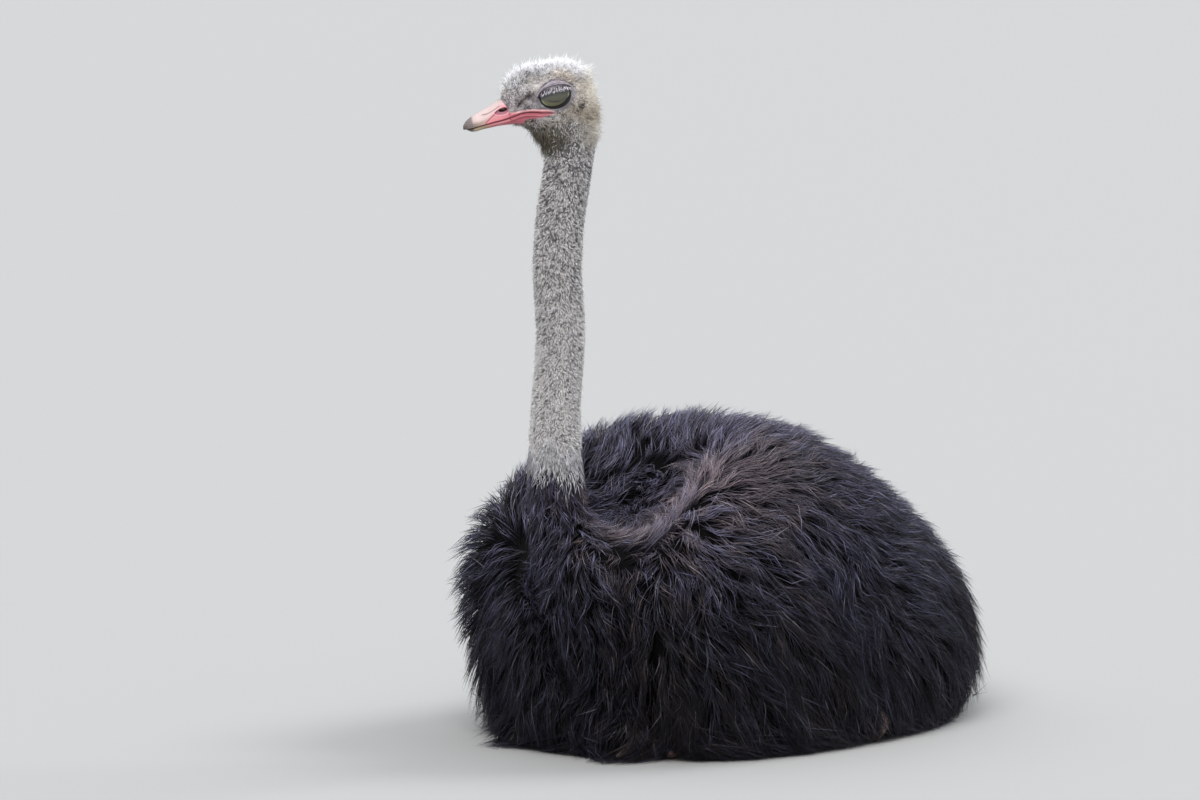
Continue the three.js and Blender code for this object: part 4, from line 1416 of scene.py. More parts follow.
    def lower(self, finish: bpy.types.Material) -> bpy.types.Object:
        """The lower half, with its flat edges under the upper one's."""
        f = self._places(self.root - 6, self.lower_tip)[:, None]
        low = through((50, 63.6, 80.7, 92.6, 103.6, 112, 120, 127),
                      (-42.4, -43.8, -45.8, -48.4, -51, -53.6, -54.6, -53), f)
        wide = through((50, 66, 75, 85, 94, 103, 112, 127), (18, 20.8, 22.6, 21.6, 20.2, 18.6, 17.2, 15.2), f)
        blunt = self._blunt(f, 113, self.lower_tip, 2.4)
        wide = wide * blunt
        mouth = self.head.mouth(f) - 0.5
        low = mouth + (low - mouth) * (0.35 + 0.65 * blunt)
        a = np.linspace(0, math.pi, self.over_top)[None]
        s = wide * np.sign(np.cos(a)) * np.abs(np.cos(a)) ** 0.8
        u = mouth + (low - mouth) * np.sin(a) ** 0.62
        f_all = np.broadcast_to(f, s.shape)
        trough = 1.2 * bell(np.abs(s) / np.maximum(wide, 0.5), 0.72, 0.10) * (1 - smooth(f_all, 96, 108))
        u_out = u + trough * np.sin(a)
        b = np.linspace(-1, 1, self.under + 2)[None, 1:-1]
        rings = self._rings(f, s, u_out, wide * b, mouth - 1.5 * (1 - b**2) * blunt)
        drop = u - mouth
        tint = coloured(
            s.shape, (196, 106, 118),
            ((232, 160, 162), bell(drop, -2.6, 1.2) * 0.7),
            ((188, 140, 122), smooth(np.sin(a) + 0 * f, 0.9, 1.0) * 0.5),
            ((160, 148, 112), smooth(f_all, 88, 102) * 0.9),
            ((206, 196, 176), smooth(f_all, 98, 108) * bell(drop, -3.4, 1.2) * 0.6),
            ((52, 44, 40), smooth(f_all, 112, 121) * 0.85),
            ((70, 32, 38), (1 - smooth(-drop, 0.1, 1.1)) * 0.85))
        low_tint = coloured((self.rows, self.under), (150, 74, 78))
        whole = np.concatenate([tint, low_tint], 1)
        return self._finish("bill_horn_lower", rings[:, ::-1], whole[:, ::-1], finish, "bill_lower")

    @staticmethod
    def _finish(name: str, rings: Array, tint: Array,
                finish: bpy.types.Material, node: str) -> bpy.types.Object:
        """Close one half of the bill, paint it and tie it to the model."""
        points, faces = ring_mesh(rings)
        piece = new_piece(name, points, faces)
        flat = tint.reshape(-1, 3)
        paint(piece, "tint", np.concatenate([flat, flat[:1], flat[-1:]]))
        return place_piece(piece, "bill", finish, node)


# ------------------------------------------------------------------ plumage


def thin(points: Array, gap: Array) -> Array:
    """Drop points that stand closer than a gap to one already kept.

    Args:
        points: The points, in order of preference.
        gap: The gap that each point needs.

    Returns:
        The indices of the points kept.
    """
    cell, taken, kept = float(gap.max()), {}, []
    keys = np.floor(points / cell).astype(int)
    for i, (p, key) in enumerate(zip(points, map(tuple, keys))):
        close = False
        for dx in (-1, 0, 1):
            for dy in (-1, 0, 1):
                for dz in (-1, 0, 1):
                    for j in taken.get((key[0] + dx, key[1] + dy, key[2] + dz), ()):
                        if ((points[j] - p) ** 2).sum() < gap[i] ** 2:
                            close = True
        if not close:
            taken.setdefault(key, []).append(i)
            kept.append(i)
    return np.array(kept)


class Zone(Enum):
    """Parts of the body coat, each its own piece, with the solids under it."""

    NECK_BASE = ("coat_neck_base", ("neck_base",))
    BREAST_LEFT = ("coat_breast_left", ("trunk",))
    BREAST_RIGHT = ("coat_breast_right", ("trunk",))
    BACK_LEFT = ("coat_back_left", ("trunk",))
    BACK_RIGHT = ("coat_back_right", ("trunk",))
    WING_LEFT = ("coat_wing_left", ("wing_left",))
    WING_RIGHT = ("coat_wing_right", ("wing_right",))
    FLANK_LEFT = ("coat_flank_left", ("thigh_left",))
    FLANK_RIGHT = ("coat_flank_right", ("thigh_right",))
    RUMP = ("coat_rump", ("trunk",))


@dataclass
class Plumage:
    """The body's loose black feathers: long strands that gather into drooping, overlapping locks."""

    bird: BirdForm
    skin: Skin
    strands: int = 86000  # at most; each lock has the same whole number of them
    tries: int = 42000  # random places, before those that stand too close are dropped
    gap: float = 0.0112
    stops: int = 2
    half_width: float = 0.00076
    proud: float = 0.007  # how far tips may stand past the outline
    low_proud: float = 0.018  # and how much farther near the ground
    ground: float = 0.0022  # lowest height of a strand
    probe: float = 0.004  # step for measuring the outline's slope

    def flow(self, p: Array, n: Array) -> Array:
        """Which way the feathers lie.

        Args:
            p: Points on or near the surface.
            n: The surface's directions there.

        Returns:
            Unit vectors along the surface, from root to tip.
        """
        neck = self.bird.neck
        on_neck = smooth(p[:, 2], 0.20, 0.36) * (1 - smooth(neck.distance(p), 0.0, 0.04))
        x, y = neck.centre(np.minimum(p[:, 2], 0.30))
        split = smooth(-p[:, 1], 0.33, 0.40)
        x = x + (self.bird.crease_x(p[:, 2]) - x) * split
        away = np.stack([p[:, 0] - x, (p[:, 1] - y) * (1 - 0.6 * split), 0 * x], axis=-1)
        far = np.linalg.norm(away, axis=-1, keepdims=True)
        away = away / np.maximum(far, 0.02)
        outward = smooth((away * n).sum(-1), -0.05, 0.25)
        high = smooth(p[:, 2], 0.06, 0.17)
        away = unit(away + np.array([0, 1.25, 0]) * smooth(far, 0.05, 0.22) * high[:, None])
        fall = 0.12 + 1.3 * smooth(1 - np.abs(n[:, 2]), 0.08, 0.6) * outward + 3.0 * (1 - high)
        fall = fall + 5.0 * on_neck + 1.6 * smooth(-n[:, 1], 0.45, 0.95)
        way = flattened(away * (1 - 0.85 * on_neck)[:, None] + DOWN * fall[:, None], n)
        valley = spot(p, 0.06, 0.14, -0.24, 0.12) * smooth(p[:, 2], 0.2, 0.3) * (1 - on_neck)
        swirl = 0.26 * Waves(5, 0.30).at(p) + 0.34 * Waves(6, 0.10).at(p)
        swirl = swirl + 0.85 * valley * Waves(7, 0.07).at(p)
        return turned(unit(way), n, swirl * (1 - 0.85 * on_neck))

    def lengths(self, p: Array) -> Array:
        """How long the strands are, by the place of their roots."""
        neck = 1 - smooth(self.bird.neck.distance(p), -0.005, 0.05)
        valley = spot(p, 0, 0.14, -0.22, 0.12)
        long = 0.058 + 0.014 * smooth(np.abs(p[:, 0]), 0.15, 0.3) + 0.045 * smooth(p[:, 1], 0.22, 0.34)
        long = long * (1 - 0.30 * valley) * (1 - 0.35 * neck * smooth(p[:, 2], 0.22, 0.38))
        long = long * (1 - 0.35 * self.bird.crease(p)) + 0.022 * (1 - smooth(p[:, 2], 0.08, 0.16))
        toes = self.over_toes(p)
        return np.minimum(long + 0.062 * toes, 0.045 + (1.25 + 1.5 * toes) * np.maximum(p[:, 2], 0.0))

    def over_toes(self, p: Array) -> Array:
        """How near points are to the toes, which long strands hang over, 0 to 1."""
        return (1 - smooth(self.bird.leg.gap(p), 0.01, 0.06)) * smooth(-p[:, 1], 0.19, 0.25)

    def roots(self) -> tuple[Array, Array]:
        """Where the locks spring from the skin."""
        def weight(p: Array) -> Array:
            bare = (p[:, 2] > self.bird.neck.collar) & (self.bird.body_distance(p) > 0.002)
            low = smooth(p[:, 2], 0.010, 0.035)
            return low * ~bare * (self.bird.leg.gap(p) > -0.002) * (1 + 3 * self.over_toes(p))

        point, normal = self.skin.scatter(self.tries, weight, 11)
        on_neck = 1 - smooth(self.bird.neck.distance(point), 0.0, 0.03)
        closer = 0.34 * on_neck * smooth(point[:, 2], 0.2, 0.35) + 0.42 * self.over_toes(point)
        kept = thin(point, self.gap * (1 - closer))
        return point[kept], normal[kept]

    def zone_of(self, p: Array) -> Array:
        """Which zone each root belongs to, as its place in Zone."""
        order, out = list(Zone), np.abs(p[:, 0])

        def either(to_left: Zone, to_right: Zone) -> Array:
            return np.where(p[:, 0] > 0, order.index(to_left), order.index(to_right))

        zone = either(Zone.BACK_LEFT, Zone.BACK_RIGHT)
        zone = np.where(out > 0.165, either(Zone.WING_LEFT, Zone.WING_RIGHT), zone)
        low = (out > 0.15) & (p[:, 2] < 0.205)
        zone = np.where(low, either(Zone.FLANK_LEFT, Zone.FLANK_RIGHT), zone)
        zone = np.where(p[:, 1] < -0.255, either(Zone.BREAST_LEFT, Zone.BREAST_RIGHT), zone)
        zone = np.where(p[:, 1] > 0.255, order.index(Zone.RUMP), zone)
        on_neck = (self.bird.neck.distance(p) < 0.004) & (p[:, 2] > 0.17)
        return np.where(on_neck, order.index(Zone.NECK_BASE), zone)

    def grow(self) -> tuple[Array, Array, Array, Array, Array]:
        """Grow every strand.

        Returns:
            Paths, half widths, side directions, colours and zones, by strand.
        """
        bird, rng = self.bird, np.random.default_rng(21)
        root, normal = self.roots()
        locks = len(root)
        per = max(8, self.strands // locks)
        LOG.info("coat: %d locks of %d strands", locks, per)
        long = self.lengths(root) * rng.uniform(0.82, 1.18, locks)
        hollow = spot(root, 0.07, 0.11, -0.24, 0.10) * smooth(root[:, 2], 0.25, 0.33)
        turn, bend = rng.normal(0, 0.24, locks) * (1 + 1.6 * hollow), rng.normal(0, 0.16, locks)
        tip_level = rng.uniform(-0.008, 0.002, locks)
        start = bird.outline(root)
        p, centres, sides, normals = root, [root], [], []
        fine = 3  # small steps between two stops
        small = fine * self.stops
        for k in range(small):
            n = bird.slope(bird.outline, p, self.probe)
            way = turned(self.flow(p, n), n, turn + bend * k / fine)
            if k % fine == 0:
                sides.append(np.cross(n, way))
                normals.append(n)
            p = p + way * (long / small)[:, None]
            ease = ((k + 1) / small) ** 0.75
            hang = 0.020 * (1 - smooth(p[:, 2], 0.03, 0.12)) * ease
            p = bird.settle(bird.outline, p, start + (tip_level - start) * ease + hang, 2)
            if k % fine == fine - 1:
                centres.append(p)
        sides.append(sides[-1])
        normals.append(normals[-1])
        centre, side, normal = (np.stack(v, axis=1) for v in (centres, sides, normals))
        t = np.linspace(0, 1, self.stops + 1)[None, :, None]
        each = np.repeat(np.arange(locks), per)
        count = len(each)
        across = rng.normal(0, 0.0052, count)[:, None, None]
        ahead = rng.uniform(-0.012, 0.014, count)[:, None, None]
        deep = rng.uniform(-0.004, 0.010, count)[:, None, None]
        c, sd, nm = centre[each], side[each], normal[each]
        along = unit(np.gradient(c, axis=1))
        short = rng.uniform(0.55, 1.08, count)[:, None, None]
        short = np.maximum(short, 0.9 * self.over_toes(root)[each][:, None, None])
        spine = c[:, :1] + (c - c[:, :1]) * short
        gather = 1 - 0.55 * t**1.1
        stray = np.where(rng.random(count) < 0.32, rng.normal(0, 0.40, count), rng.normal(0, 0.13, count))
        wave = rng.normal(0, 0.0018, (count, 1, 1))
        wave = wave * np.sin(t * rng.uniform(3, 8, (count, 1, 1)) + across * 900)
        reach = long[each][:, None, None]
        paths = (spine + sd * (across * gather + stray[:, None, None] * reach * t**1.4 * 0.6 + wave * t)
                 + along * ahead * (1 - t) - nm * deep * (1 - t))
        lift = np.where(rng.random(count) < 0.12, rng.uniform(0.002, 0.009, count), 0.0)[:, None, None]
        paths = paths + nm * (lift * t**1.5 + rng.normal(0, 0.0012, (count, 1, 1)) * t)
        paths = self._tame(paths)
        width = self.half_width * rng.uniform(0.70, 1.25, count)[:, None] * np.array([0.95, 0.85])
        # painted shade: strands at a lock's edges and strands lying deeper are painted darker
        painted_lock_shade = (0.35 + 0.65 * bell(across, 0, 0.0055)) * (1.05 - 0.75 * smooth(deep, 0.0, 0.010))
        facing = unit(sd[:, 1] + nm[:, 1] * rng.normal(0, 0.35, count)[:, None])
        return paths, width, facing, self._tints(paths, each, painted_lock_shade, rng), self.zone_of(root)[each]

    def _tame(self, paths: Array) -> Array:
        """Keep strands above the ground, close to the outline and clear of the legs."""
        bird = self.bird
        flat = paths[:, 1:].reshape(-1, 3)
        for _ in range(2):
            low = 1 - smooth(flat[:, 2], 0.03, 0.13)
            over_by = bird.outline(flat) - self.proud - self.low_proud * low
            high = over_by > 0
            flat[high] -= bird.slope(bird.outline, flat[high], self.probe) * over_by[high][:, None]
        close = -0.011 - bird.leg.gap(flat)
        near = (close > 0) & (flat[:, 2] < 0.10)
        flat[near] += bird.slope(bird.leg.gap, flat[near], 0.002) * close[near][:, None]
        flat[:, 2] = np.maximum(flat[:, 2], self.ground + 0.05 * np.maximum(flat[:, 2], 0))
        paths[:, 1:] = flat.reshape(paths[:, 1:].shape)
        paths[:, 0, 2] = np.maximum(paths[:, 0, 2], 0.004)
        return paths

    def _tints(self, paths: Array, each: Array, painted_lock_shade: Array, rng: np.random.Generator) -> Array:
        """The strands' colours from root to tip: near black with brown casts, a painted blue-grey sheen
        highlight towards the tips, and painted light and shade by height, fold and lock.
        """
        count = len(paths)
        root = paths[:, 0]
        t = np.linspace(0, 1, self.stops + 1)[None]
        lock = rng.normal(0, 0.5, each.max() + 1)[each]
        cast = Waves(31, 0.30).at(root) * 0.7 + lock
        valley = spot(root, 0.075, 0.12, -0.25, 0.11) * smooth(root[:, 2], 0.25, 0.33)
        brown = smooth(cast + 0.9 * valley + 0.2 * (1 - smooth(root[:, 2], 0.1, 0.3)), 0.3, 1.5)
        # painted light and shade: strands painted lighter high on the body, darker low down and in the
        # breast's fold
        painted_top_light = (0.34 + 0.66 * smooth(root[:, 2], 0.12, 0.38)) * (1 - 0.75 * self.bird.crease(root))
        # how much of the accent each strand takes: its blue-grey part is a painted sheen highlight, its brown
        # part the feathers' own tone; the valley takes more as painted light
        amount = rng.beta(0.5, 1.3, count) * 1.35 + 0.20 * lock + 0.60 * valley
        amount = np.clip(amount, 0.0, 1) * painted_top_light * painted_lock_shade[:, 0, 0]
        pale = rng.random(count) < 0.02 + 0.02 * valley
        # accent: brown feather tone over a blue-grey painted sheen highlight, rising from root to tip
        painted_sheen_and_brown = coloured(
            count, (158, 158, 200),
            ((150, 130, 132), brown),
            ((204, 184, 182), valley * smooth(lock, -0.5, 0.6) * 0.9),
            ((190, 182, 190), pale * 0.8))
        amount = np.where(pale, 0.35 + 0.65 * painted_top_light, amount)[:, None] * t**0.8
        # paler ground in the valley and high on the back: partly dust, partly painted light
        dust_and_painted_light = np.clip(valley + 0.16 * smooth(root[:, 2], 0.30, 0.42), 0, 1)
        base = coloured(count, (6, 5, 7), ((112, 103, 116), dust_and_painted_light))[:, None]
        return base + (painted_sheen_and_brown[:, None, :] - base) * amount[..., None]

    def build(self, finish: bpy.types.Material) -> list[bpy.types.Object]:
        """Make the coat's pieces and dress them."""
        paths, width, facing, tint, zone = self.grow()
        pieces = []
        for i, part in enumerate(Zone):
            mine = zone == i
            root = paths[mine, 0]
            layout = np.stack([np.arctan2(root[:, 0], root[:, 2] - 0.12), root[:, 1]], -1)
            layout = (layout - layout.min(0)) / np.maximum(np.ptp(layout, axis=0), 1e-6)
            spikes = Spikes(paths[mine], width[mine], facing[mine], tint[mine], layout)
            name, nodes = part.value
            piece = place_piece(spikes.build(name), "plumage", finish, *nodes)
            LOG.info("%s: %d strands", name, mine.sum())
            pieces.append(piece)
        return pieces


def along_strands(tints: Array, *shares: float) -> Array:
    """One colour per strand, dimmed by shares from root to tip."""
    return np.repeat(tints[:, None], len(shares), axis=1) * np.array(shares)[None, :, None]


@dataclass
class NeckDown:
    """Short pale and dark tufts over the bare neck, with cream strands over the black at its foot."""

    bird: BirdForm
    count: int = 36000
    collar_count: int = 1500
    length: float = 0.0056
    fleck_table: tuple[int, int] = (400, 120)
    fleck_height: float = 0.0023
    flecks_round: int = 96

    def _place(self, z: Array, turn: Array) -> tuple[Array, Array]:
        """Points on the neck's skin and the skin's directions there."""
        x, y = self.bird.neck.centre(z)
        r = self.bird.neck.girth(z) - self.bird.neck.depth(z)
        p = np.stack([x + r * np.sin(turn), y - r * np.cos(turn), z], axis=-1)
        p = self.bird.settle(self.bird.skin, p, -0.0006, 3)
        return p, self.bird.slope(self.bird.skin, p)

    def tufts(self, low: float, high: float, seed: int) -> Spikes:
        """The tufts between two heights."""
        rng = np.random.default_rng(seed)
        share = int(self.count * (high - low) / 0.5)  # the whole count covers 0.5 m of neck
        cols = int(math.sqrt(share * 0.22 / (high - low)))
        rows = share // cols
        i, j = np.meshgrid(np.arange(rows), np.arange(cols), indexing="ij")
        z = (low + (high - low) * (i + rng.random(i.shape)) / rows).ravel()
        turn = (2 * math.pi * (j + rng.random(j.shape) + 0.5 * (i % 2)) / cols).ravel()
        root, n = self._place(z, turn)
        free = self.bird.head.distance(root) > -0.0012
        root, n, z, turn = root[free], n[free], z[free], turn[free]
        count = len(root)
        lean = rng.normal(0, 0.6, count) + 0.35 * Waves(9, 0.05).at(root)
        way = turned(unit(flattened(DOWN, n)), n, lean)
        stand = rng.uniform(0.6, 1.1, count)[:, None]
        wisp = rng.random(count) < 0.07
        long = (self.length * rng.uniform(0.7, 1.2, count) * np.where(wisp, 1.7, 1.0))[:, None]
        mid = root + (way * (1 - stand * 0.4) + n * stand) * long * 0.48
        tip = root + (way * (1.15 - stand * 0.5) + n * stand * 0.78) * long
        paths = np.stack([root, mid, tip], axis=1)
        wide = np.tile([0.00052, 0.00044], (count, 1)) * rng.uniform(0.8, 1.25, (count, 1))
        rows, cols = self.fleck_table
        fleck, around = rng.random(self.fleck_table), turn / (2 * math.pi) % 1
        row = ((z - low) / self.fleck_height + rng.normal(0, 0.2, count)).astype(int) % rows
        shift = 7 * fleck[row, 0]
        col = (around * self.flecks_round + shift + rng.normal(0, 0.2, count)).astype(int) % cols
        start = 0.74 - 0.30 * smooth(z, 0.44, 0.86) + 0.06 * Waves(12, 0.05).at(root)
        dark = smooth(fleck[row, col] + rng.normal(0, 0.08, count), start, start + 0.22)
        warm = rng.random(count) * 0.7
        throat = smooth(z, 0.866, 0.895) * smooth(self.bird.head.to_local(root)[1], -30, 5)
        tint = coloured(
            count, (250, 249, 252),
            ((226, 218, 208), warm),
            ((64, 60, 62), dark * 0.9),
            ((104, 95, 70), throat * 0.75),
            ((252, 250, 250), wisp * 0.9))
        side = unit(np.cross(n, way) + 0.4 * rng.normal(size=(count, 3)))
        tints = along_strands(tint, 0.75, 1.0, 1.08)
        layout = np.stack([around, (z - low) / (high - low)], -1)
        return Spikes(paths, wide, side, tints, layout, flatness=0.6)

    def collar(self) -> Spikes:
        """The longer cream strands where the bare neck meets the black feathers."""
        rng = np.random.default_rng(77)
        count = self.collar_count
        turn = rng.uniform(0, 2 * math.pi, count)
        drop = np.abs(rng.normal(0, 0.018, count)) - 0.014
        ragged = np.stack([np.sin(turn), np.cos(turn), 0 * turn], -1) * 0.04
        z = 0.436 - drop * (1 + 0.5 * Waves(15, 0.05).at(ragged)) + 0.008 * Waves(14, 0.03).at(ragged)
        root, n = self._place(z, turn)
        lean = rng.normal(0, 0.30, count)
        long = rng.uniform(0.009, 0.021, count) * (1 + 0.7 * (rng.random(count) < 0.14))
        steps, p = [root], root
        for k in range(3):
            slope = self.bird.slope(self.bird.outline, p, 0.003)
            p = p + turned(unit(flattened(DOWN, slope)), slope, lean) * (long / 3)[:, None]
            p = self.bird.settle(self.bird.outline, p, -0.003 + 0.0015 * k, 2)
            steps.append(p)
        wide = np.tile([0.0006, 0.0006, 0.0004], (count, 1)) * rng.uniform(0.7, 1.3, (count, 1))
        fade = smooth(drop, 0.012, 0.040)
        tint = coloured(count, (226, 225, 228), ((104, 102, 106), fade))
        tints = np.repeat(tint[:, None], 4, axis=1) * rng.uniform(0.45, 1.1, (count, 1, 1))
        layout = np.stack([turn / (2 * math.pi), np.clip(drop / 0.06, 0, 1)], -1)
        return Spikes(np.stack(steps, 1), wide, np.cross(n, [0, 0, 1.0]) + 1e-4, tints, layout, flatness=0.6)

    def build(self, finish: bpy.types.Material) -> list[bpy.types.Object]:
        """Make the neck's down and dress it."""
        parts = (("down_neck_lower", self.tufts(0.418, 0.672, 71), "neck_lower"),
                 ("down_neck_upper", self.tufts(0.672, 0.925, 72), "neck_upper"),
                 ("down_collar", self.collar(), "neck_base"))
        return [place_piece(spikes.build(name), "down", finish, node) for name, spikes, node in parts]


@dataclass
class HeadDown:
    """The head's wispy down: long and pale on crown and nape, short and dark before the eyes."""

    bird: BirdForm
    skin: Skin
    count: int = 15000

    def thickness(self, p: Array) -> Array:
        """How thickly the down grows, by point."""
        s, f, u = self.bird.head.to_local(p)
        on_head = (self.bird.head.distance(p) < 0.004) & (p[:, 2] > 0.868)
        side = smooth(np.abs(s), 12, 20)
        ring = self.bird.head.eye_ring(f, u)
        gap = u - self.bird.head.mouth(f)
        lips = side * smooth(f, -3, 2) * (gap < 8) * (gap > -8 - 7 * smooth(f, 34, 44))
        grown = 0.75 + 1.3 * smooth(u, 10, 30) + 0.8 * (1 - smooth(f, -45, -25))
        grown = grown + 0.4 * (1 - smooth(u, -60, -45))
        under_brow = 1 - smooth(u - self.bird.head.brow(f), 0.6, 2.4)
        around_eye = side * (1 - smooth(ring, 1.10, 1.32)) * under_brow
        ear = (self.bird.head.ear_ring(f, u, slant=0.0) < 0.8) * side
        inside = smooth(self.bird.head.feather_edge(u) - f, 0.5, 5)
        bluish = side * bell(f, 28, 12) * bell(u, -13, 6)
        return on_head * grown * (1 - lips) * (1 - around_eye) * (1 - 0.7 * ear) * inside * (1 - 0.8 * bluish)

    def build(self, finish: bpy.types.Material) -> bpy.types.Object:
        """Make the head's down and dress it."""
        head, rng = self.bird.head, np.random.default_rng(91)
        root, n = self.skin.scatter(self.count, self.thickness, 90)
        s, f, u = head.to_local(root)
        c, t = math.cos(head.turn), math.sin(head.turn)
        ahead = np.array([t, -c, 0.0])
        brow_gap = u - head.brow(f)
        crown = np.maximum(smooth(u, 14, 31), smooth(f, 32, 54) * smooth(u, -8, 10))
        nape = (1 - smooth(f, -48, -30)) * smooth(u, -85, -50)
        lores = smooth(f, 14, 30) * (1 - smooth(u, -4, 8)) * smooth(np.abs(s), 10, 18)
        throat = (1 - smooth(u, -56, -36)) * smooth(f, -38, 0)
        cheek = bell(u, -26, 14) * (1 - smooth(f, -28, 8))
        lid_rim = bell(brow_gap, 5, 5) * (1 - smooth(f, 4, 26)) * smooth(f, -34, -24)
        long = 5.2 + 7.0 * crown + 4.6 * nape + 6.0 * throat - 2.8 * lores - 1.6 * lid_rim
        wisp = rng.random(self.count)
        long = long * rng.uniform(0.5, 1.15, self.count) * np.where(wisp < 0.10, 1.55, 1.0)
        bristle = (wisp > 0.97) * throat
        long = long + 6.0 * bristle
        hang = np.array([0, 0, -1.1]) * (throat + cheek * 0.5)[:, None]
        lie = -ahead * 0.5 + np.array([0, 0, 0.10]) + hang
        lie = unit(flattened(lie + 0.55 * rng.normal(size=(self.count, 3)), n))
        stand = 0.34 + 0.50 * crown + 0.42 * nape + 0.15 * throat + rng.normal(0, 0.14, self.count)
        stand = np.clip(stand, 0.15, 1.0)
        way = unit(n * stand[:, None] + lie * (1 - stand * 0.8)[:, None])
        reach = (long * MM)[:, None]
        droop = lie * 0.18 + np.array([0, 0, -0.06]) + 0.10 * rng.normal(size=(self.count, 3))
        base = root - n * 0.0005
        paths = np.stack([base, base + way * reach * 0.5, base + way * reach + droop * reach], axis=1)
        wide = np.tile([0.00034, 0.00026], (self.count, 1)) * rng.uniform(0.75, 1.3, (self.count, 1))
        fuller = 0.5 * np.maximum(lores, crown * (u < 34))
        wide = wide * (np.where(wisp < 0.10, 1.45, 1.0) + fuller)[:, None]
        stripe = bell(u - through((0, 30, 64), (25, 14, -3), f), 0, 5.0)
        stripe = stripe * smooth(f, -6, 6) * smooth(np.abs(s), 6, 14)
        spots = 0.5 * Waves(92, 0.0060, 14).at(root) + rng.normal(0, 0.34, self.count)
        most = 0.40 + 0.42 * smooth(f, 5, 35) - 0.4 * nape - 0.25 * smooth(u, 30, 42)
        dark = smooth(spots, 0.32, 0.60) * most * (1 - stripe)
        tint = coloured(
            self.count, (220, 212, 202),
            ((252, 251, 253), crown),
            ((246, 240, 228), nape * 0.85),
            ((248, 234, 216), lid_rim * 0.8),
            ((212, 204, 208), lores * 0.85),
            ((250, 244, 242), stripe),
            ((66, 54, 46), head.streak(f, u) * smooth(np.abs(s), 10, 18) * 0.9),
            ((190, 176, 156), cheek * 0.75),
            ((92, 84, 58), throat * 0.9),
            ((46, 41, 46), dark),
            ((40, 34, 32), bristle))
        tints = along_strands(tint, 0.85, 1.0, 1.0)
        side = unit(np.cross(n, way) + 0.3 * rng.normal(size=(self.count, 3)))
        layout = np.stack([np.arctan2(s, u + 20) / (2 * math.pi) + 0.5, (f + 62) / 140], -1)
        spikes = Spikes(paths, wide, side, tints, layout, flatness=0.7)
        return place_piece(spikes.build("down_head"), "face", finish, "head")


@dataclass
class TailPlumes:
    """Curled buff plumes that droop behind the rump, each a shaft with two rows of loose barbs."""

    plumes: int = 54
    barbs: int = 30
    root_y: float = 0.330
    barb: float = 0.038
    barb_curve: tuple[tuple[float, float], ...] = ((0, 0), (0.38, 0.04), (0.72, 0.20), (0.92, 0.48))
    lowest: float = 0.012

    def build(self, finish: bpy.types.Material) -> bpy.types.Object:
        """Make the tail and dress it."""
        rng = np.random.default_rng(61)
        paths, wide, side, tints, layout = [], [], [], [], []
        for _ in range(self.plumes):
            across = rng.uniform(-1, 1)
            level = rng.uniform(0.06, 0.215) - 0.03 * across**2
            start = np.array([across * 0.084, self.root_y - 0.01 + 0.02 * (1 - abs(across)), level])
            out = rng.uniform(0.085, 0.135) * (1 - 0.2 * abs(across))
            fall = min(rng.uniform(0.04, 0.10), level - 0.042)
            t = np.linspace(0, 1, self.barbs + 1)
            lift = 0.022 * np.sin(t * math.pi * 0.8)
            shaft = start + np.stack([across * 0.03 * t, out * np.sin(t * 1.45), lift - fall * t**2.2], -1)
            ahead = unit(np.gradient(shaft, axis=0))
            flat = unit(np.cross(ahead, [0.15 * across, 0.2, 1.0]))
            tone = shade(206, 190, 164) * rng.uniform(0.72, 1.08)
            picks = np.linspace(0, self.barbs, 4).astype(int)
            paths.append(shaft[picks][None])
            wide.append(np.array([[0.0009, 0.0007, 0.0005]]))
            side.append(flat[:1])
            tints.append(np.broadcast_to(tone, (1, 4, 3)))
            for sign in (-1, 1):
                root = shaft[2:]
                swell = 0.45 + 0.55 * np.sin(np.linspace(0.35, 2.5, len(root)))
                reach = (self.barb * swell * rng.uniform(0.75, 1.15, len(root)))[:, None]
                wayward = 0.16 * rng.normal(size=(len(root), 3))
                way = unit(sign * flat[2:] * 0.8 + ahead[2:] * 0.75 + wayward)
                barb = np.stack([root + way * reach * along + DOWN * reach * sag
                                 for along, sag in self.barb_curve], axis=1)
                paths.append(barb)
                wide.append(np.tile([0.0009, 0.0010, 0.0007], (len(root), 1)))
                side.append(ahead[2:])
                tints.append(tone * rng.uniform(0.8, 1.12, (len(root), 1, 1)) * np.ones((1, 4, 1)))
        paths, wide = np.concatenate(paths), np.concatenate(wide)
        paths[:, 1:, 2] = np.maximum(paths[:, 1:, 2], self.lowest)
        root = paths[:, 0]
        layout = np.stack([root[:, 0], root[:, 1] + root[:, 2]], -1)
        layout = (layout - layout.min(0)) / np.ptp(layout, axis=0)
        spikes = Spikes(paths, wide, np.concatenate(side), np.concatenate(tints), layout)
        return place_piece(spikes.build("tail_plumes"), "tail_plumes", finish, "tail")


# ------------------------------------------------------------------ studio


def hang(name: str, data: bpy.types.ID, place: Vector, away: Vector) -> bpy.types.Object:
    """Put a light or a camera in the scene, looking against a direction."""
    item = bpy.data.objects.new(name, data)
    item.location = place
    item.rotation_euler = (-away).to_track_quat("-Z", "Y").to_euler()
    bpy.context.scene.collection.objects.link(item)
    return item


@dataclass(frozen=True)
class Lamp:
    """One soft light from far off, which lights bird and floor evenly."""

    name: str
    place: tuple[float, float, float]
    spread: float
    power: float
    colour: Tone

    def build(self) -> None:
        """Hang the light, turned to the bird."""
        data = bpy.data.lights.new(self.name, "SUN")
        data.energy, data.angle, data.color = self.power, math.radians(self.spread), self.colour
        hang(self.name, data, Vector(self.place), Vector(self.place))


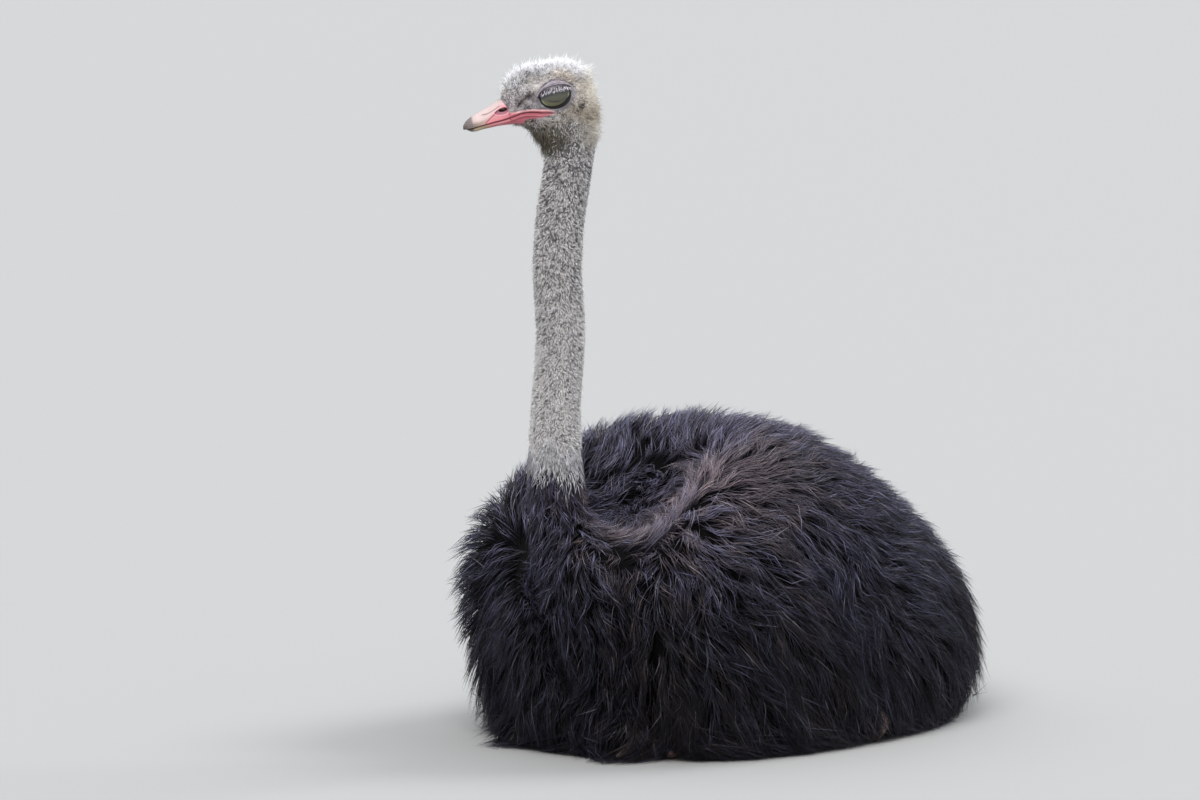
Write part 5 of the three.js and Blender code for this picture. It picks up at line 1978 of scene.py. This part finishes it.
@dataclass
class Studio:
    """The floor, the lights and the camera."""

    target: tuple[float, float, float] = (-0.1650, -0.1115, 0.4809)
    turn: float = math.radians(42)
    rise: float = math.radians(6.5)
    distance: float = 10.0
    lens: float = 201.6
    floor_reach: float = 60.0
    lamps: tuple[Lamp, ...] = (
        Lamp("key", (1.9, -3.4, 4.4), 36.0, 2.7, (1.0, 0.985, 0.965)),
        Lamp("sky", (-0.4, 0.5, 5.2), 100.0, 1.8, (0.90, 0.94, 1.0)),
        Lamp("rim", (1.6, 3.6, 3.6), 26.0, 1.7, (0.96, 0.975, 1.0)),
    )

    def build(self, floor_finish: bpy.types.Material) -> None:
        """Set everything up."""
        scene = bpy.context.scene
        world = bpy.data.worlds.new("studio")
        world.use_nodes = True
        back = world.node_tree.nodes["Background"]
        back.inputs["Color"].default_value = (0.86, 0.89, 0.94, 1)
        back.inputs["Strength"].default_value = 0.42
        scene.world = world
        scene.view_settings.view_transform = "Standard"
        corners = np.array([[-1, -1, 0], [1, -1, 0], [1, 1, 0], [-1, 1, 0]]) * self.floor_reach
        floor = new_piece("floor", corners, [np.array([[0, 1, 2, 3]])], soft=False)
        floor.data.materials.append(floor_finish)
        for lamp in self.lamps:
            lamp.build()
        level = math.cos(self.rise)
        away = Vector((math.sin(self.turn) * level, -math.cos(self.turn) * level, math.sin(self.rise)))
        data = bpy.data.cameras.new("camera")
        data.lens, data.sensor_width, data.clip_end = self.lens, 36.0, 200.0
        scene.camera = hang("camera", data, Vector(self.target) + away * self.distance, away)


def dress_legs(finish: bpy.types.Material, claw_finish: bpy.types.Material) -> None:
    """Give the legs and feet their scales, and the claws their horn."""
    for side in SIDES.values():
        for name in ("shank", "toe_inner", "toe_outer", "claw"):
            piece = bpy.data.objects[f"{name}_{side}"]
            piece.data.materials.clear()
            piece.data.materials.append(claw_finish if name == "claw" else finish)


def main() -> None:
    """Build the bird and its studio."""
    logging.basicConfig(level=logging.INFO, format="%(name)s: %(message)s")
    Studio().build(FloorFinish("floor_paint").build())
    bird = BirdForm()
    feather = FeatherFinish("black_feather").build()
    down = FeatherFinish("neck_down", roughness=0.6, gloss=0.3, sheen=0.15, grain=0.12).build()
    plume = FeatherFinish("tail_plume", roughness=0.6, gloss=0.3, sheen=0.2, grain=0.2).build()
    skin = Skin(bird)
    piece = skin.build(SkinFinish("living_skin").build())
    LOG.info("skin: %d points", len(piece.data.vertices))
    eyes, lid = Eyes(bird.head), LidFinish("lower_lid").build()
    for sign in SIDES:
        eyes.globe(sign, lid)
        eyes.fringe(sign, down)
    bill, horn = Bill(bird.head), HornFinish("bill_horn").build()
    bill.upper(horn)
    bill.lower(horn)
    LOG.info("face done")
    dress_legs(ScuteFinish("leg_scutes").build(), ClawFinish("claw_horn").build())
    Plumage(bird, skin).build(feather)
    NeckDown(bird).build(down)
    HeadDown(bird, skin).build(down)
    TailPlumes().build(plume)
    faces = sum(len(o.data.loop_triangles) for o in bpy.data.objects if o.type == "MESH")
    LOG.info("whole model: %d loop triangles", faces)


if __name__ == "__main__":
    main()
